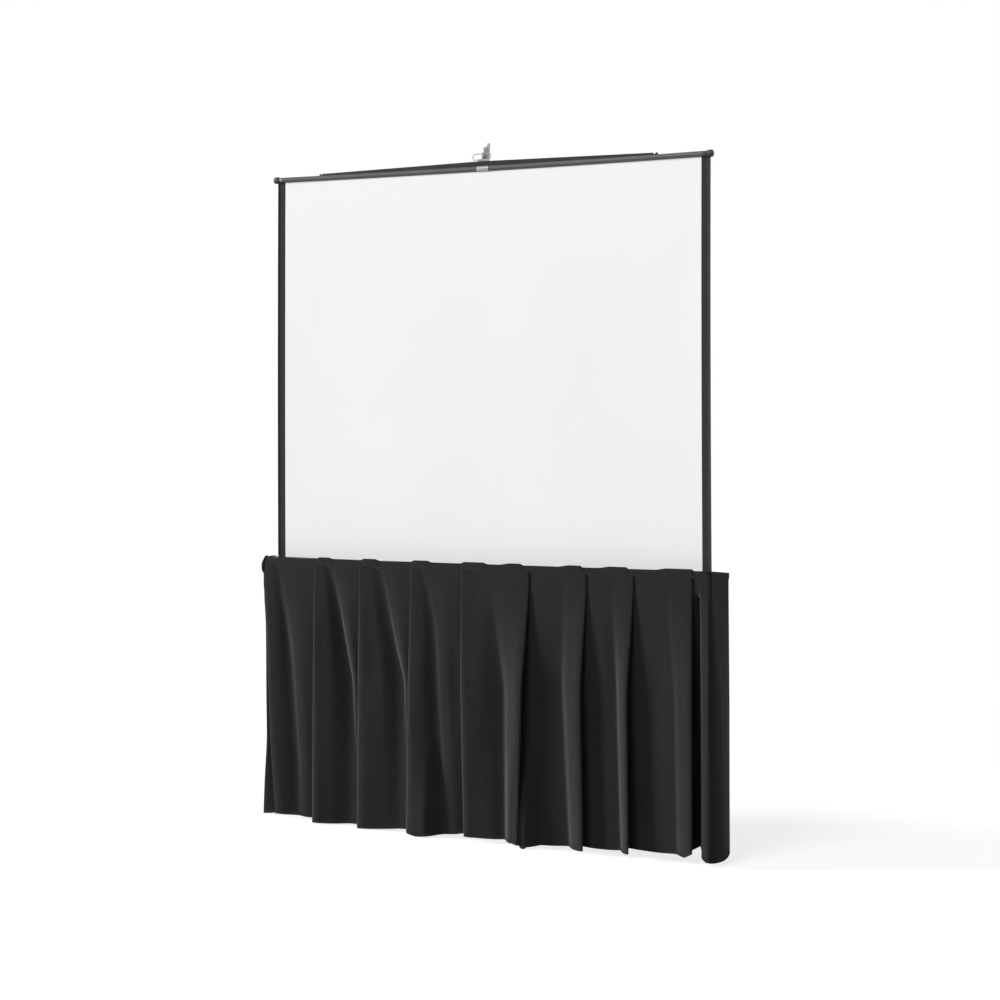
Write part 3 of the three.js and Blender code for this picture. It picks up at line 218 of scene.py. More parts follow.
def drape_cloth(name="black_drape_cloth", stitched=False):
    """Black woven drapery: twill along the cloth's own threads, slubs, a soft sheen, and on a
    band its stitching."""
    n = Nodes(name)
    threads = n.coords("UV")
    warp = n.wave(n.stretched(threads, (1.0, 0.35, 1.0)), 190.0, "DIAGONAL")
    weft = n.wave(threads, 240.0, "Y")
    slubs = n.noise(n.stretched(threads, (1.0, 0.12, 1.0)), scale=160.0, detail=3.0)
    dust = n.noise(n.coords(), scale=5.0, detail=3.0)
    tone = n.math("ADD", n.math("MULTIPLY", slubs, 0.6), n.math("MULTIPLY", dust, 0.4))
    colour = n.shades(tone, (0.3, 0.7), DRAPE_BLACK)
    cross = n.math("ADD", n.math("MULTIPLY", weft, 0.3), slubs)
    height = n.math("ADD", n.math("MULTIPLY", warp, 0.6), cross)
    normal = n.bump(height, strength=0.25, distance=0.0005)
    if stitched:
        along = n.split(threads)
        swing = n.math("SINE", n.math("MULTIPLY", along["X"], STITCH_PITCH))
        off_line = n.math("ABSOLUTE", n.math("SUBTRACT", along["Y"], STITCH_LINE))
        line = n.between(off_line, 0.0006, 0.0012, 1.0, 0.0)
        stitch = n.math("MULTIPLY", n.between(swing, -0.2, 0.2), line)
        colour = n.mix(stitch, colour, STITCH_THREAD)
        pulled = n.math("SUBTRACT", stitch, n.math("MULTIPLY", line, 0.7))
        normal = n.bump(pulled, strength=0.6, distance=0.0008, below=normal)
    return n.finished(colour, 0.62, normal, {
        "Specular IOR Level": 0.0,
        "Sheen Weight": 0.72,
        "Sheen Roughness": 0.45,
        "Sheen Tint": (0.55, 0.55, 0.57, 1.0),
    })


def satin_black(name="satin_black_metal", along=ALONG_X, tone=0.06, gloss=0.5):
    """Drawn metal with a satin black coat: faint lines along its length and slight wear in the
    gloss."""
    n = Nodes(name)
    place = n.coords()
    lines = n.noise(n.stretched(place, along), scale=900.0, detail=3.0)
    blotches = n.noise(place, scale=9.0)
    return n.finished(
        n.shades(blotches, (0.35, 0.7), (grey(tone), grey(tone * 1.25, (0.0, 0.0005, 0.001)))),
        n.between(n.math("ADD", lines, blotches), 0.7, 1.3, 0.32, 0.46),
        n.bump(lines, strength=0.08, distance=0.0003),
        {"Metallic": 0.1, "Specular IOR Level": gloss},
    )


def enamel():
    """Black stoved enamel with a fine orange peel."""
    n = Nodes("black_enamel")
    place = n.coords()
    peel = n.noise(place, scale=320.0, detail=2.0)
    wear = n.noise(place, scale=14.0, detail=5.0, roughness=0.6)
    return n.finished(
        n.shades(wear, (0.45, 0.75), (grey(0.03), grey(0.042))),
        n.between(wear, 0.3, 0.8, 0.3, 0.45),
        n.bump(peel, strength=0.12, distance=0.0004),
        {"Coat Weight": 0.3, "Coat Roughness": 0.25},
    )


def chrome(name="chrome_plate", tones=(0.38, 0.31), gloss=(0.24, 0.36)):
    """Chrome plate with faint smudges; the tones and the roughness are clean first, then
    smudged."""
    n = Nodes(name)
    place = n.coords()
    smudge = n.noise(place, scale=24.0, detail=5.0, roughness=0.6)
    smudged = grey(tones[1], (0.0, 0.004, 0.01))
    return n.finished(
        n.shades(smudge, (0.3, 0.8), (grey(tones[0]), smudged)),
        n.between(smudge, 0.3, 0.8, *gloss),
        n.bump(n.noise(place, scale=150.0, detail=2.0), strength=0.03, distance=0.0003),
        {"Metallic": 1.0},
    )


def steel():
    """Zinc-bright steel, brushed along its length."""
    n = Nodes("grey_steel")
    place = n.coords()
    lines = n.noise(n.stretched(place, ALONG_Z), scale=1100.0, detail=3.0)
    stain = n.noise(place, scale=12.0, detail=5.0, roughness=0.6)
    return n.finished(
        n.shades(stain, (0.3, 0.75), (grey(0.46), grey(0.38, (0.0, 0.003, 0.008)))),
        n.between(n.math("ADD", lines, stain), 0.6, 1.4, 0.24, 0.42),
        n.bump(lines, strength=0.1, distance=0.0003),
        {"Metallic": 1.0},
    )


def plastic():
    """Moulded black plastic with a fine spark-eroded grain."""
    n = Nodes("black_plastic")
    place = n.coords()
    grain = n.noise(place, scale=1400.0, detail=2.0)
    flow = n.noise(place, scale=18.0, detail=3.0)
    return n.finished(
        n.shades(flow, (0.3, 0.7), (grey(0.018), grey(0.025))),
        n.between(flow, 0.3, 0.7, 0.46, 0.58),
        n.bump(grain, strength=0.25, distance=0.0003),
    )


def rubber():
    """Dull black rubber, a little dusty."""
    n = Nodes("black_rubber")
    place = n.coords()
    dust = n.noise(place, scale=60.0, detail=5.0, roughness=0.65)
    return n.finished(
        n.shades(dust, (0.45, 0.8), (grey(0.014), grey(0.035, (0.001, 0.0, -0.001)))),
        n.between(dust, 0.3, 0.8, 0.72, 0.9),
        n.bump(n.noise(place, scale=700.0, detail=3.0), strength=0.3, distance=0.0004),
    )


MATERIALS = {
    "white_screen_cloth": white_cloth(),
    "black_drape_cloth": drape_cloth(),
    "satin_black_metal": satin_black(),
    "black_enamel": enamel(),
    "chrome_plate": chrome(),
    "grey_steel": steel(),
    "black_plastic": plastic(),
    "black_rubber": rubber(),
}
BAND_CLOTH = drape_cloth("black_band_cloth", stitched=True)
SLAT_METAL = satin_black("satin_black_slat", tone=0.062)
BAIL_METAL = satin_black("satin_black_bail", tone=0.012, gloss=0.25)
TUBE_METAL = satin_black("satin_black_tube", ALONG_Z, tone=0.05)
CASE_COAT = satin_black("satin_black_case", tone=0.016, gloss=0.2)
DULL_CHROME = chrome("dull_chrome", tones=(0.34, 0.24), gloss=(0.50, 0.60))


# Meshes from arrays of points
def mesh_piece(name, points, faces, material, uv=None, smooth=True):
    """A piece from an (n, 3) array of points and an (m, 4) array of face corners."""
    mesh = bpy.data.meshes.new(name)
    mesh.from_pydata(points.tolist(), [], faces.tolist())
    if uv is not None:
        layer = mesh.uv_layers.new(name="UVMap")
        layer.data.foreach_set("uv", uv[faces.ravel()].astype(np.float32).ravel())
    mesh.polygons.foreach_set("use_smooth", np.full(len(faces), smooth))
    mesh.materials.append(material)
    mesh.validate()
    piece = bpy.data.objects.new(name, mesh)
    bpy.context.scene.collection.objects.link(piece)
    return piece


def grid_faces(rows, columns, closed=False):
    """Corner numbers of the quads between neighbours of a rows by columns grid of points; where
    it is closed, the last column joins the first."""
    r = np.arange(rows - 1)[:, None]
    c = np.arange(columns if closed else columns - 1)[None, :]
    over = (c + 1) % columns
    here, below = r * columns, (r + 1) * columns
    return np.stack([here + c, here + over, below + over, below + c], axis=-1).reshape(-1, 4)


def normals_of(surface):
    """Unit normals of a grid of points: the cross product of its two differences, row by column."""
    normal = np.cross(np.gradient(surface, axis=1), np.gradient(surface, axis=0))
    return normal / np.linalg.norm(normal, axis=-1, keepdims=True)


def on_grid(x, y, z):
    """A grid of points from three arrays that fill each other's rows and columns out."""
    return np.stack(np.broadcast_arrays(x, y, z), axis=-1)


def cloth_piece(name, surface, thickness, material, across, down):
    """A sheet with thickness: the surface moved half a thickness each way along its normals, and
    joined round the rim. Its UV map gives the lengths across and down the cloth, in metres."""
    rows, columns, _ = surface.shape
    away = normals_of(surface) * thickness / 2
    points = np.concatenate([(surface + away).reshape(-1, 3), (surface - away).reshape(-1, 3)])
    face = grid_faces(rows, columns)
    count = rows * columns
    ids = np.arange(count).reshape(rows, columns)
    rim = np.concatenate([ids[0], ids[1:, -1], ids[-1, -2::-1], ids[-2:0:-1, 0]])
    following = np.roll(rim, -1)
    edge = np.stack([rim, rim + count, following + count, following], axis=-1)
    faces = np.concatenate([face[:, ::-1], face + count, edge])
    uv = np.stack(np.broadcast_arrays(across, down), axis=-1).reshape(-1, 2)
    return mesh_piece(name, points, faces, material, np.concatenate([uv, uv]))


def turned(name, places, across, upward, rings, material, start=0.0):
    """Closed rings of points round a path of (n, 3) places: each point is its place plus the
    cosine of an angle times the across vector plus its sine times the upward one."""
    angle = np.linspace(0.0, 2 * math.pi, rings, endpoint=False) + math.radians(start)
    first, second = np.cos(angle)[None, :, None], np.sin(angle)[None, :, None]
    points = places[:, None, :] + first * across[:, None, :] + second * upward[:, None, :]
    faces = grid_faces(len(places), rings, closed=True)
    return mesh_piece(name, points.reshape(-1, 3), faces, material)


def along_axis(axis, lengths):
    """A vector of each length along x (0), y (1) or z (2)."""
    return np.eye(3)[axis] * lengths[:, None]


def seated(piece, body, slot, *nodes):
    """Puts a piece on its body, in place of its CAD nodes. The slot is not used."""
    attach(piece, body)
    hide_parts(*nodes)
    return piece


def eased(t):
    """Smooth step: 3 t squared less 2 t cubed, with t held from 0 to 1."""
    t = np.clip(t, 0.0, 1.0)
    return t * t * (3.0 - 2.0 * t)


def blurred(values, spread, axis):
    """Values smoothed along an axis by a Gaussian of the given spread, in steps, with the ends
    held."""
    reach = int(3 * spread) + 1
    weight = np.exp(-0.5 * (np.arange(-reach, reach + 1) / spread) ** 2)
    weight /= weight.sum()
    pad = [(0, 0)] * values.ndim
    pad[axis] = (reach, reach)
    padded = np.pad(values, pad, mode="edge")
    length = values.shape[axis]
    parts = [
        w * np.take(padded, np.arange(k, k + length), axis=axis) for k, w in enumerate(weight)
    ]
    return np.sum(parts, axis=0)


DOUBLES_WITHIN = 0.00002
SHARP_OVER = math.radians(32)


def smooth_by_angle():
    """A node group that merges a mesh's doubles and shades it smooth, with steeper edges kept
    sharp."""
    group = bpy.data.node_groups.new("merge_and_shade", "GeometryNodeTree")
    group.interface.new_socket("Geometry", in_out="INPUT", socket_type="NodeSocketGeometry")
    group.interface.new_socket("Geometry", in_out="OUTPUT", socket_type="NodeSocketGeometry")
    made = {name: group.nodes.new(kind) for name, kind in {
        "in": "NodeGroupInput",
        "merge": "GeometryNodeMergeByDistance",
        "faces": "GeometryNodeSetShadeSmooth",
        "edges": "GeometryNodeSetShadeSmooth",
        "angle": "GeometryNodeInputMeshEdgeAngle",
        "over": "FunctionNodeCompare",
        "out": "NodeGroupOutput",
    }.items()}
    made["merge"].inputs["Distance"].default_value = DOUBLES_WITHIN
    made["faces"].domain = "FACE"
    made["edges"].domain = "EDGE"
    made["edges"].inputs["Shade Smooth"].default_value = False
    made["over"].data_type = "FLOAT"
    made["over"].operation = "GREATER_THAN"
    made["over"].inputs["B"].default_value = SHARP_OVER
    link = group.links.new
    link(made["in"].outputs[0], made["merge"].inputs["Geometry"])
    link(made["merge"].outputs["Geometry"], made["faces"].inputs["Geometry"])
    link(made["faces"].outputs["Geometry"], made["edges"].inputs["Geometry"])
    link(made["angle"].outputs["Unsigned Angle"], made["over"].inputs["A"])
    link(made["over"].outputs["Result"], made["edges"].inputs["Selection"])
    link(made["edges"].outputs["Geometry"], made["out"].inputs[0])
    return group


SHADING = smooth_by_angle()


def shade(piece):
    piece.modifiers.new("shade", "NODES").node_group = SHADING


# Screen cloth: taut, with edges that curl a little and the faintest waves
SCREEN_SHEET = 0.0007
EDGE_CURL = 0.0025
FAINT_WAVE = 0.0006
SPREAD = 0.0020  # how far the right edge stands out at the slat
SPREAD_MORE = 0.0042  # how much more at the roller
SPREAD_BOW = 0.0010  # and how much less than evenly between them


def screen_cloth():
    """y = the cloth's plane less a curl that grows with the sixth power of x, plus a sine along x,
    both by a sine of the height; x = a share of the width plus the spread of the right edge;
    z straight from the roller to the slat."""
    x = np.linspace(CLOTH_LEFT, CLOTH_RIGHT, 121)[None, :]
    v = np.linspace(0.0, 1.0, 101)[:, None]
    z = ROLL_Z + (CLOTH_TOP - ROLL_Z) * v
    free = np.sin(np.pi * v) ** 0.8
    curl = -EDGE_CURL * (np.abs(x) / CLOTH_HALF) ** 6 * free
    y = CLOTH_Y + curl + FAINT_WAVE * np.sin(9.0 * x / CLOTH_HALF + 1.3) * free
    spread = SPREAD + SPREAD_MORE * (1.0 - v) - SPREAD_BOW * np.sin(np.pi * v)
    surface = on_grid(x + spread * eased(x / CLOTH_RIGHT), y, z)
    white = MATERIALS["white_screen_cloth"]
    piece = cloth_piece("projection_cloth", surface, SCREEN_SHEET, white, x, z)
    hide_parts("screen_cloth")
    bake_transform(piece)


# Skirt, in metres, with x from the middle and depth in front of the screen cloth
SKIRT_TOP = 1.055
SKIRT_SLOPE = 0.0095 / 0.960  # the heading and the hem rise to the viewers' right
SKIRT_LENGTH = 1.040
SKIRT_HALF = 0.960
SKIRT_SHEET = 0.0012
TOP_FRONT = 0.071  # depth of the cloth at the heading
TOP_BACK = 0.0672  # and of its tucked layers there
TOP_LAP = 0.024
ON_CASE = 0.0698  # depth of cloth that lies on the case
RETURN_BACK = HEADING_BACK - CLOTH_Y  # how far the ends run back behind the screen cloth
RETURN_DROOP = 0.020  # how much lower the top edge is at the back of the ends
END_STARTS = SKIRT_HALF - 0.02  # from here on the top counts as an end
UNDER_BAND = 0.001  # how far below the band's top the cloth starts
STRAIGHT = 0.085  # how far the skirt hangs flat against the case before it opens
HALFWAY = 0.45
LOWEST = 0.004  # the hem stays this far above the floor
HEM_LIFT = 0.012
WAVE_DEPTH, CRIMP_DEPTH = 0.0022, 0.0009
LAYER_GAP = 0.0014  # between the two layers of a tuck at the heading
LAYER_GAP_AT_HEM = 0.005
CRISP_SPREAD, SOFT_SPREAD, ROW_SPREAD = 1.5, 3.4, 1.2  # how softly corners and runs are rounded
SOFT_SHARE = 0.45  # how much of the softer rounding the hem takes

# The strip of the right end that stands out: it starts squarely at a drop of its own
STRIP_TOP = 0.100
STRIP_LEFT, STRIP_MIDDLE, STRIP_RIGHT = 0.914, 0.936, 0.9585
STRIP_LIFT = 0.0060
STRIP_TILT = 0.12

# Drops below the heading at which the cloth has its rows: closer near the top, and with one row
# on each side of the strip's start
HANG = np.linspace(0.0, 1.0, 56) ** 1.1 * SKIRT_LENGTH
STRIP_ROW = int(np.argmin(np.abs(HANG - STRIP_TOP)))
HANG[STRIP_ROW:STRIP_ROW + 2] = STRIP_TOP - 0.002, STRIP_TOP + 0.003

# Folds that face left: place at the heading, halfway and at the hem, then at the hem the depth
# of the edge and of the cloth behind it, and the lap
LEFT_FOLDS = [
    ((-0.709, -0.714, -0.716), 0.090, 0.026, 0.060),
    ((-0.500, -0.506, -0.508), 0.092, 0.030, 0.062),
    ((-0.268, -0.277, -0.279), 0.102, 0.040, 0.060),
    ((-0.048, -0.049, -0.032), 0.098, 0.044, 0.058),
]
# Folds that face right: the same, then the width of the ridge beside the edge at the heading,
# halfway and at the hem, and the depth of the valley where the ridge starts, halfway and at the hem
RIGHT_FOLDS = [
    ((0.240, 0.222, 0.213), 0.118, 0.050, 0.040, (0.165, 0.098, 0.078), (0.058, 0.066)),
    ((0.474, 0.456, 0.470), 0.098, 0.040, 0.046, (0.100, 0.094, 0.078), (0.050, 0.050)),
    ((0.662, 0.641, 0.649), 0.092, 0.026, 0.050, (0.090, 0.058, 0.048), (0.050, 0.052)),
    ((0.890, 0.888, 0.889), 0.078, 0.000, 0.034, (0.104, 0.080, 0.072), (0.050, 0.044)),
]
# Creases of the panels between left folds, at the drops below: the share of the panel's width,
# and the depth of the valley
CREASE_DROPS = (0.00, 0.12, 0.22, 0.34, 0.46, 0.80, 1.04)
CREASES = [
    ((0.25, 0.30, 0.38, 0.45, 0.50, 0.58, 0.60), (0.001, 0.006, 0.011, 0.014, 0.015, 0.013, 0.004)),
    ((0.31, 0.47, 0.56, 0.67, 0.80, 0.90, 0.90), (0.003, 0.012, 0.020, 0.024, 0.020, 0.002, 0.000)),
    ((0.35, 0.49, 0.58, 0.70, 0.86, 0.90, 0.90), (0.003, 0.011, 0.017, 0.020, 0.015, 0.002, 0.000)),
    ((0.18, 0.34, 0.45, 0.51, 0.53, 0.60, 0.70), (0.001, 0.006, 0.011, 0.013, 0.014, 0.012, 0.005)),
]
# Left end, at the drops below: the return's front corner and the first panel's rolled edge
END_DROPS = (0.00, 0.08, 0.24, 0.48, 0.73, 0.90, 1.04)
END_CORNER = (-0.958, -0.957, -0.953, -0.960, -0.961, -0.975, -0.983)
END_EDGE = (-0.940, -0.940, -0.938, -0.935, -0.925, -0.910, -0.897)
ROLL_AT_HEADING = 0.003
ROLL_AT_HEM = 0.017
# The top edge over the left corner: the way along the path from that corner, and the lift
CORNER_TOP = np.array([
    (-0.060, -0.006), (-0.034, -0.014), (-0.006, -0.030), (0.004, -0.026), (0.012, -0.012),
    (0.022, 0.004), (0.031, 0.008), (0.043, 0.002), (0.060, 0.0),
])
# The hem from left to right: place and height
HEM = np.array([
    (-0.990, 0.004), (-0.930, 0.010), (-0.890, 0.018), (-0.716, 0.006), (-0.508, 0.004),
    (-0.279, 0.012), (-0.225, 0.004), (-0.140, 0.012), (-0.048, 0.022), (0.190, 0.021),
    (0.240, 0.012), (0.460, 0.019), (0.643, 0.026), (0.860, 0.032), (0.895, 0.052),
    (0.940, 0.024), (0.980, 0.020),
])
# The hump of cloth over a front foot: its room, its half width, the drop where it starts and
# how far it grows from there
FOOT_ROOM = 0.008
HUMP_HALF = 0.052
HUMP_STARTS, HUMP_GROWS = 0.62, 0.36
FRONT_FEET = ("leg_foot_1", "leg_foot_3")


def run(top, hem, halfway=None):
    """Values down the cloth: held as far as it lies on the case, then by way of the halfway value
    to the hem."""
    if halfway is None:
        halfway = 0.36 * top + 0.64 * hem
    return np.interp(HANG, (0.0, STRAIGHT, HALFWAY, SKIRT_LENGTH), (top, top, halfway, hem))


def place_run(place):
    return run(place[0], place[2], place[1])


def end_run(values):
    return np.interp(HANG, END_DROPS, values)


def below_case(under, hem):
    """Held on the case, then at once back to the value under it, and from there evenly to the
    hem."""
    drops = (0.0, STRIP_TOP - 0.006, STRIP_TOP + 0.006, SKIRT_LENGTH)
    return np.interp(HANG, drops, (ON_CASE, ON_CASE, under, hem))


def tucked_layers(x, lap, behind, side):
    """The doubled cloth behind a fold's edge; side is 1 where it lies to the right."""
    tucked = x + side * run(TOP_LAP, lap)
    second = run(TOP_BACK + LAYER_GAP, behind + LAYER_GAP_AT_HEM)
    return [(tucked, run(TOP_BACK, behind)), (tucked, second)]


def rolled_edge(x, front, share=1.0):
    """The soft roll of an edge that faces left: three points that climb from its side to its
    front."""
    roll = run(ROLL_AT_HEADING, ROLL_AT_HEM, 0.8 * ROLL_AT_HEM) * share
    return [
        (x, front - roll),
        (x + 0.12 * roll, front - 0.55 * roll),
        (x + 0.62 * roll, front - 0.12 * roll),
    ]


def creased_panel(left, right, front, last, crease):
    """The panel from a left fold's edge to the next fold: it falls back to its crease and rises
    again beyond it."""
    share = np.interp(HANG, CREASE_DROPS, crease[0])
    valley = np.interp(HANG, CREASE_DROPS, crease[1])
    far = run(TOP_FRONT, last)
    level = front + (far - front) * share
    line = left + (right - left) * share
    rest = right - line
    return [
        (left + run(0.008, 0.028), front),
        (left + 0.60 * (line - left), front + (level - front) * 0.60 - 0.22 * valley),
        (line - 0.14 * (line - left), level - 0.84 * valley),
        (line, level - valley),
        (line + 0.14 * rest, level - 0.40 * valley),
        (line + 0.50 * rest, level + 0.10 * valley + 0.2 * (far - level)),
        (right - 0.003, far + 0.06 * valley),
    ]


def ridge_panel(before, level, x, edge, ridge, base):
    """The panel up to a right fold's edge: a flat that dips to the ridge's foot, then the ridge's
    sloping face."""
    start = x - place_run(ridge)
    foot = run(TOP_FRONT, base[1], base[0])
    return [
        (before + 0.25 * (start - before), level + 0.25 * (foot - level) + run(0.0, 0.010)),
        (before + 0.70 * (start - before), level + 0.70 * (foot - level) + run(0.0, 0.009)),
        (start - 0.006, foot + run(0.0, 0.002)),
        (start + 0.004, foot),
        (start + 0.30 * (x - start), foot + 0.50 * (edge - foot)),
        (start + 0.78 * (x - start), foot + 0.97 * (edge - foot)),
        (x - 0.002, edge),
    ]


def left_end(edge, front):
    """The left end in plan: from its back edge round the front corner, a tuck, and the first
    panel's rolled edge."""
    back = -RETURN_BACK
    corner = end_run(END_CORNER)
    tuck = edge + run(0.010, 0.022)
    return [
        (run(-SKIRT_HALF, -0.962), run(back, back)),
        (run(-SKIRT_HALF, -0.972, -0.962), run(back * 0.5, back * 0.5)),
        (corner - run(0.001, 0.004), run(0.02, 0.000)),
        (corner, run(TOP_FRONT - 0.010, 0.026)),
        (corner + 0.006, run(TOP_FRONT - 0.008, 0.032)),
        (tuck, run(TOP_BACK - 0.004, 0.008)),
        (tuck, run(TOP_BACK - 0.002, 0.014)),
        *rolled_edge(edge, front, run(1.0, 0.2, 0.7)),
    ]


def right_end():
    """The right end in plan: out of the last fold's shade to the column of cloth that hangs from
    the strip, round its front, and along the side to its back edge."""
    back = -RETURN_BACK
    return [
        (run(0.897, 0.895), run(TOP_FRONT - 0.004, 0.000)),
        (run(0.905, 0.904), below_case(0.030, 0.000)),
        (run(0.913, 0.912), below_case(0.030, 0.006)),
        (run(0.916, 0.915), below_case(0.052, 0.046)),
        (run(0.919, 0.920), run(0.0700, 0.063, 0.066)),
        (run(0.946, 0.946), run(0.0705, 0.074, 0.072)),
        (run(0.957, 0.963), run(0.0695, 0.069, 0.068)),
        (run(0.961, 0.975), run(0.062, 0.044, 0.052)),
        (run(SKIRT_HALF, 0.984), run(0.03, 0.000)),
        (run(SKIRT_HALF, 0.978), run(back * 0.5, back * 0.5)),
        (run(SKIRT_HALF, 0.964), run(back, back)),
    ]


def skirt_corners():
    """Corner points of the cloth's path in plan, left to right: each is a run of places and a run
    of depths."""
    edge, front = end_run(END_EDGE), run(TOP_FRONT + 0.002, 0.066)
    rows = left_end(edge, front)
    for (places, proud, behind, lap), crease in zip(LEFT_FOLDS, CREASES):
        x = place_run(places)
        rows += creased_panel(edge, x, front, behind + 0.012, crease)
        edge, front = x, run(TOP_FRONT + 0.003, proud)
        rows += tucked_layers(x, lap, behind, 1) + rolled_edge(edge, front)
    rows.append((edge + run(0.008, 0.028), front))
    before, level = edge + 0.03, run(TOP_FRONT, LEFT_FOLDS[-1][1] - 0.012)
    for places, proud, behind, lap, ridge, base in RIGHT_FOLDS:
        x = place_run(places)
        edge = run(TOP_FRONT + 0.003, proud)
        rows += ridge_panel(before, level, x, edge, ridge, base)
        rows += [(x, edge - 0.002), (x, edge - run(0.0028, 0.010))]
        rows += tucked_layers(x, lap, behind, -1)[::-1]
        before, level = x + 0.004, run(TOP_FRONT - 0.001, behind + 0.002)
    return np.array(rows + right_end())


def top_edge(x, depth):
    """Height of the skirt's top: it slopes along the front, droops towards the back of the ends,
    and rounds down over the left corner, by a table along the path from that corner."""
    droop = np.clip((TOP_FRONT - depth) / (TOP_FRONT + RETURN_BACK), 0.0, 1.0)
    from_corner = x + SKIRT_HALF - (TOP_FRONT - depth)
    corner = np.interp(from_corner, CORNER_TOP[:, 0], CORNER_TOP[:, 1]) * (x < 0.0)
    ends = np.abs(x) > END_STARTS
    return SKIRT_TOP + SKIRT_SLOPE * x - RETURN_DROOP * droop * ends + corner


def hem_height(x, depth):
    """The hem follows its table, and is lifted where the cloth lies further back."""
    level = np.interp(x, HEM[:, 0], HEM[:, 1])
    lift = HEM_LIFT * eased((0.085 - depth) / 0.08) * (np.abs(x) < 0.895)
    return np.maximum(level + lift, LOWEST)


def cloth_columns(corners, finest=5, spacing=0.0065):
    """Weights that turn corner points into columns of the cloth: each stretch between two corners
    has as many columns as its mean length asks, and at least the finest number."""
    x, depth = corners[:, 0, :], corners[:, 1, :]
    length = np.hypot(np.diff(x, axis=0), np.diff(depth, axis=0)).mean(axis=1)
    counts = np.maximum(finest, np.ceil(length / spacing)).astype(int)
    stretches = [np.linspace(k, k + 1, n, endpoint=False) for k, n in enumerate(counts)]
    index = np.concatenate(stretches + [[len(counts)]])
    whole = np.minimum(index.astype(int), len(counts) - 1)
    share = index - whole
    way = np.concatenate([[0.0], np.cumsum(length)])
    return whole, share, np.interp(index, np.arange(len(way)), way)


def over_the_feet(x, depth, hang):
    """Where a front foot or its leg would come through near the hem, the cloth is pushed out over
    it in a soft hump."""
    for name in FRONT_FEET:
        low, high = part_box(name)
        middle = (low[0] + high[0]) / 2
        front = CLOTH_Y - low[1] + FOOT_ROOM
        across = np.exp(-((x - middle) / HUMP_HALF) ** 4)
        hump = across * eased((hang - HUMP_STARTS) / HUMP_GROWS)
        depth = depth + np.maximum(front - depth, 0.0) * hump * (depth > 0.035)
    return depth


def over_the_strip(x, depth, hang):
    """The right end's strip is lifted and tilted out of the cloth, less and less to the hem."""
    beside = eased((x - STRIP_LEFT) / 0.003) * eased((STRIP_RIGHT - x) / 0.002)
    strip = beside * eased((hang - STRIP_TOP + 0.002) / 0.005)
    lift = STRIP_LIFT + STRIP_TILT * (x - STRIP_MIDDLE)
    return depth + lift * strip * (depth > 0.03) * eased((0.9 - hang) / 0.7)


def skirt_surface():
    """Each row is the path through the corner points at that height; the corners are rounded by a
    Gaussian along the cloth, more to the hem, and the runs by one down it. Two products of sines
    give the flats their waves and crimps."""
    corners = skirt_corners()
    whole, share, along = cloth_columns(corners)
    share = share[:, None, None]
    path = corners[whole] * (1.0 - share) + corners[whole + 1] * share
    crisp = blurred(path, CRISP_SPREAD, 0)
    soft = blurred(path, SOFT_SPREAD, 0)
    ease = eased(HANG / SKIRT_LENGTH)[None, None, :]
    path = blurred(crisp + (soft - crisp) * ease * SOFT_SHARE, ROW_SPREAD, 2)
    x, depth = path[:, 0, :].T, path[:, 1, :].T
    hang = HANG[:, None]
    loose = eased((hang - STRAIGHT) / 0.5)
    waved = WAVE_DEPTH * loose * np.sin(31.0 * x + 2.2 * hang)
    depth = depth + waved * np.sin(2.6 * hang + 0.6)
    crimped = CRIMP_DEPTH * np.sin(74.0 * x - 3.0 * hang)
    depth = depth + crimped * np.sin(np.pi * loose * 0.8) ** 2
    depth = over_the_strip(x, over_the_feet(x, depth, hang), hang)
    top = top_edge(x[:1], depth[:1]) - UNDER_BAND
    z = top - hang * (top - hem_height(x[-1:], depth[-1:])) / SKIRT_LENGTH
    return on_grid(x, CLOTH_Y - depth, z), along


def skirt():
    surface, along = skirt_surface()
    black = MATERIALS["black_drape_cloth"]
    piece = cloth_piece("pleated_skirt", surface, SKIRT_SHEET, black, along[None, :], HANG[:, None])
    seated(piece, "carriage", "black_drape_cloth", "skirt")
    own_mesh(piece)
    return piece, along[-1]


# Heading: the stitched band over the top of the skirt, raised where the pleats stack up behind it
BAND_HEIGHT = 0.034
BAND_SHEET = 0.0010
BAND_COLUMNS = 900
CORNER_SPREAD = 0.006  # how softly the band goes round the corners
STEP_SPREAD = 0.0015  # and over a lump's step
LEFT_LUMPS = [(-0.656, 0.042), (-0.448, 0.045), (-0.219, 0.048), (0.010, 0.060)]  # middle, half
RIGHT_LUMPS = [(0.215, 0.100), (0.460, 0.100), (0.643, 0.120), (0.897, 0.150)]  # edge, width
LUMP_RISE = 0.0065
LUMP_PROUD = 0.0040
TOP_ROLL = 0.0030
BAND_OFF, BAND_OFF_LESS = 0.0034, 0.0016  # how far the band stands off, and less at the ends
DRAWN_IN, DRAWN_IN_LESS = 0.0060, 0.0020  # how far its lower edge is drawn back, and less there


def band_lift(x):
    """0 between the pleats and 1 over them: a soft hump at a left fold, and one that ends in a
    step at a right fold."""
    lift = np.zeros_like(x)
    for middle, half in LEFT_LUMPS:
        lift = np.maximum(lift, eased((half - np.abs(x - middle)) / 0.022))
    for edge, wide in RIGHT_LUMPS:
        rise = eased((x - edge + wide) / 0.05) * eased((edge - x) / 0.006)
        lift = np.maximum(lift, rise)
    return lift


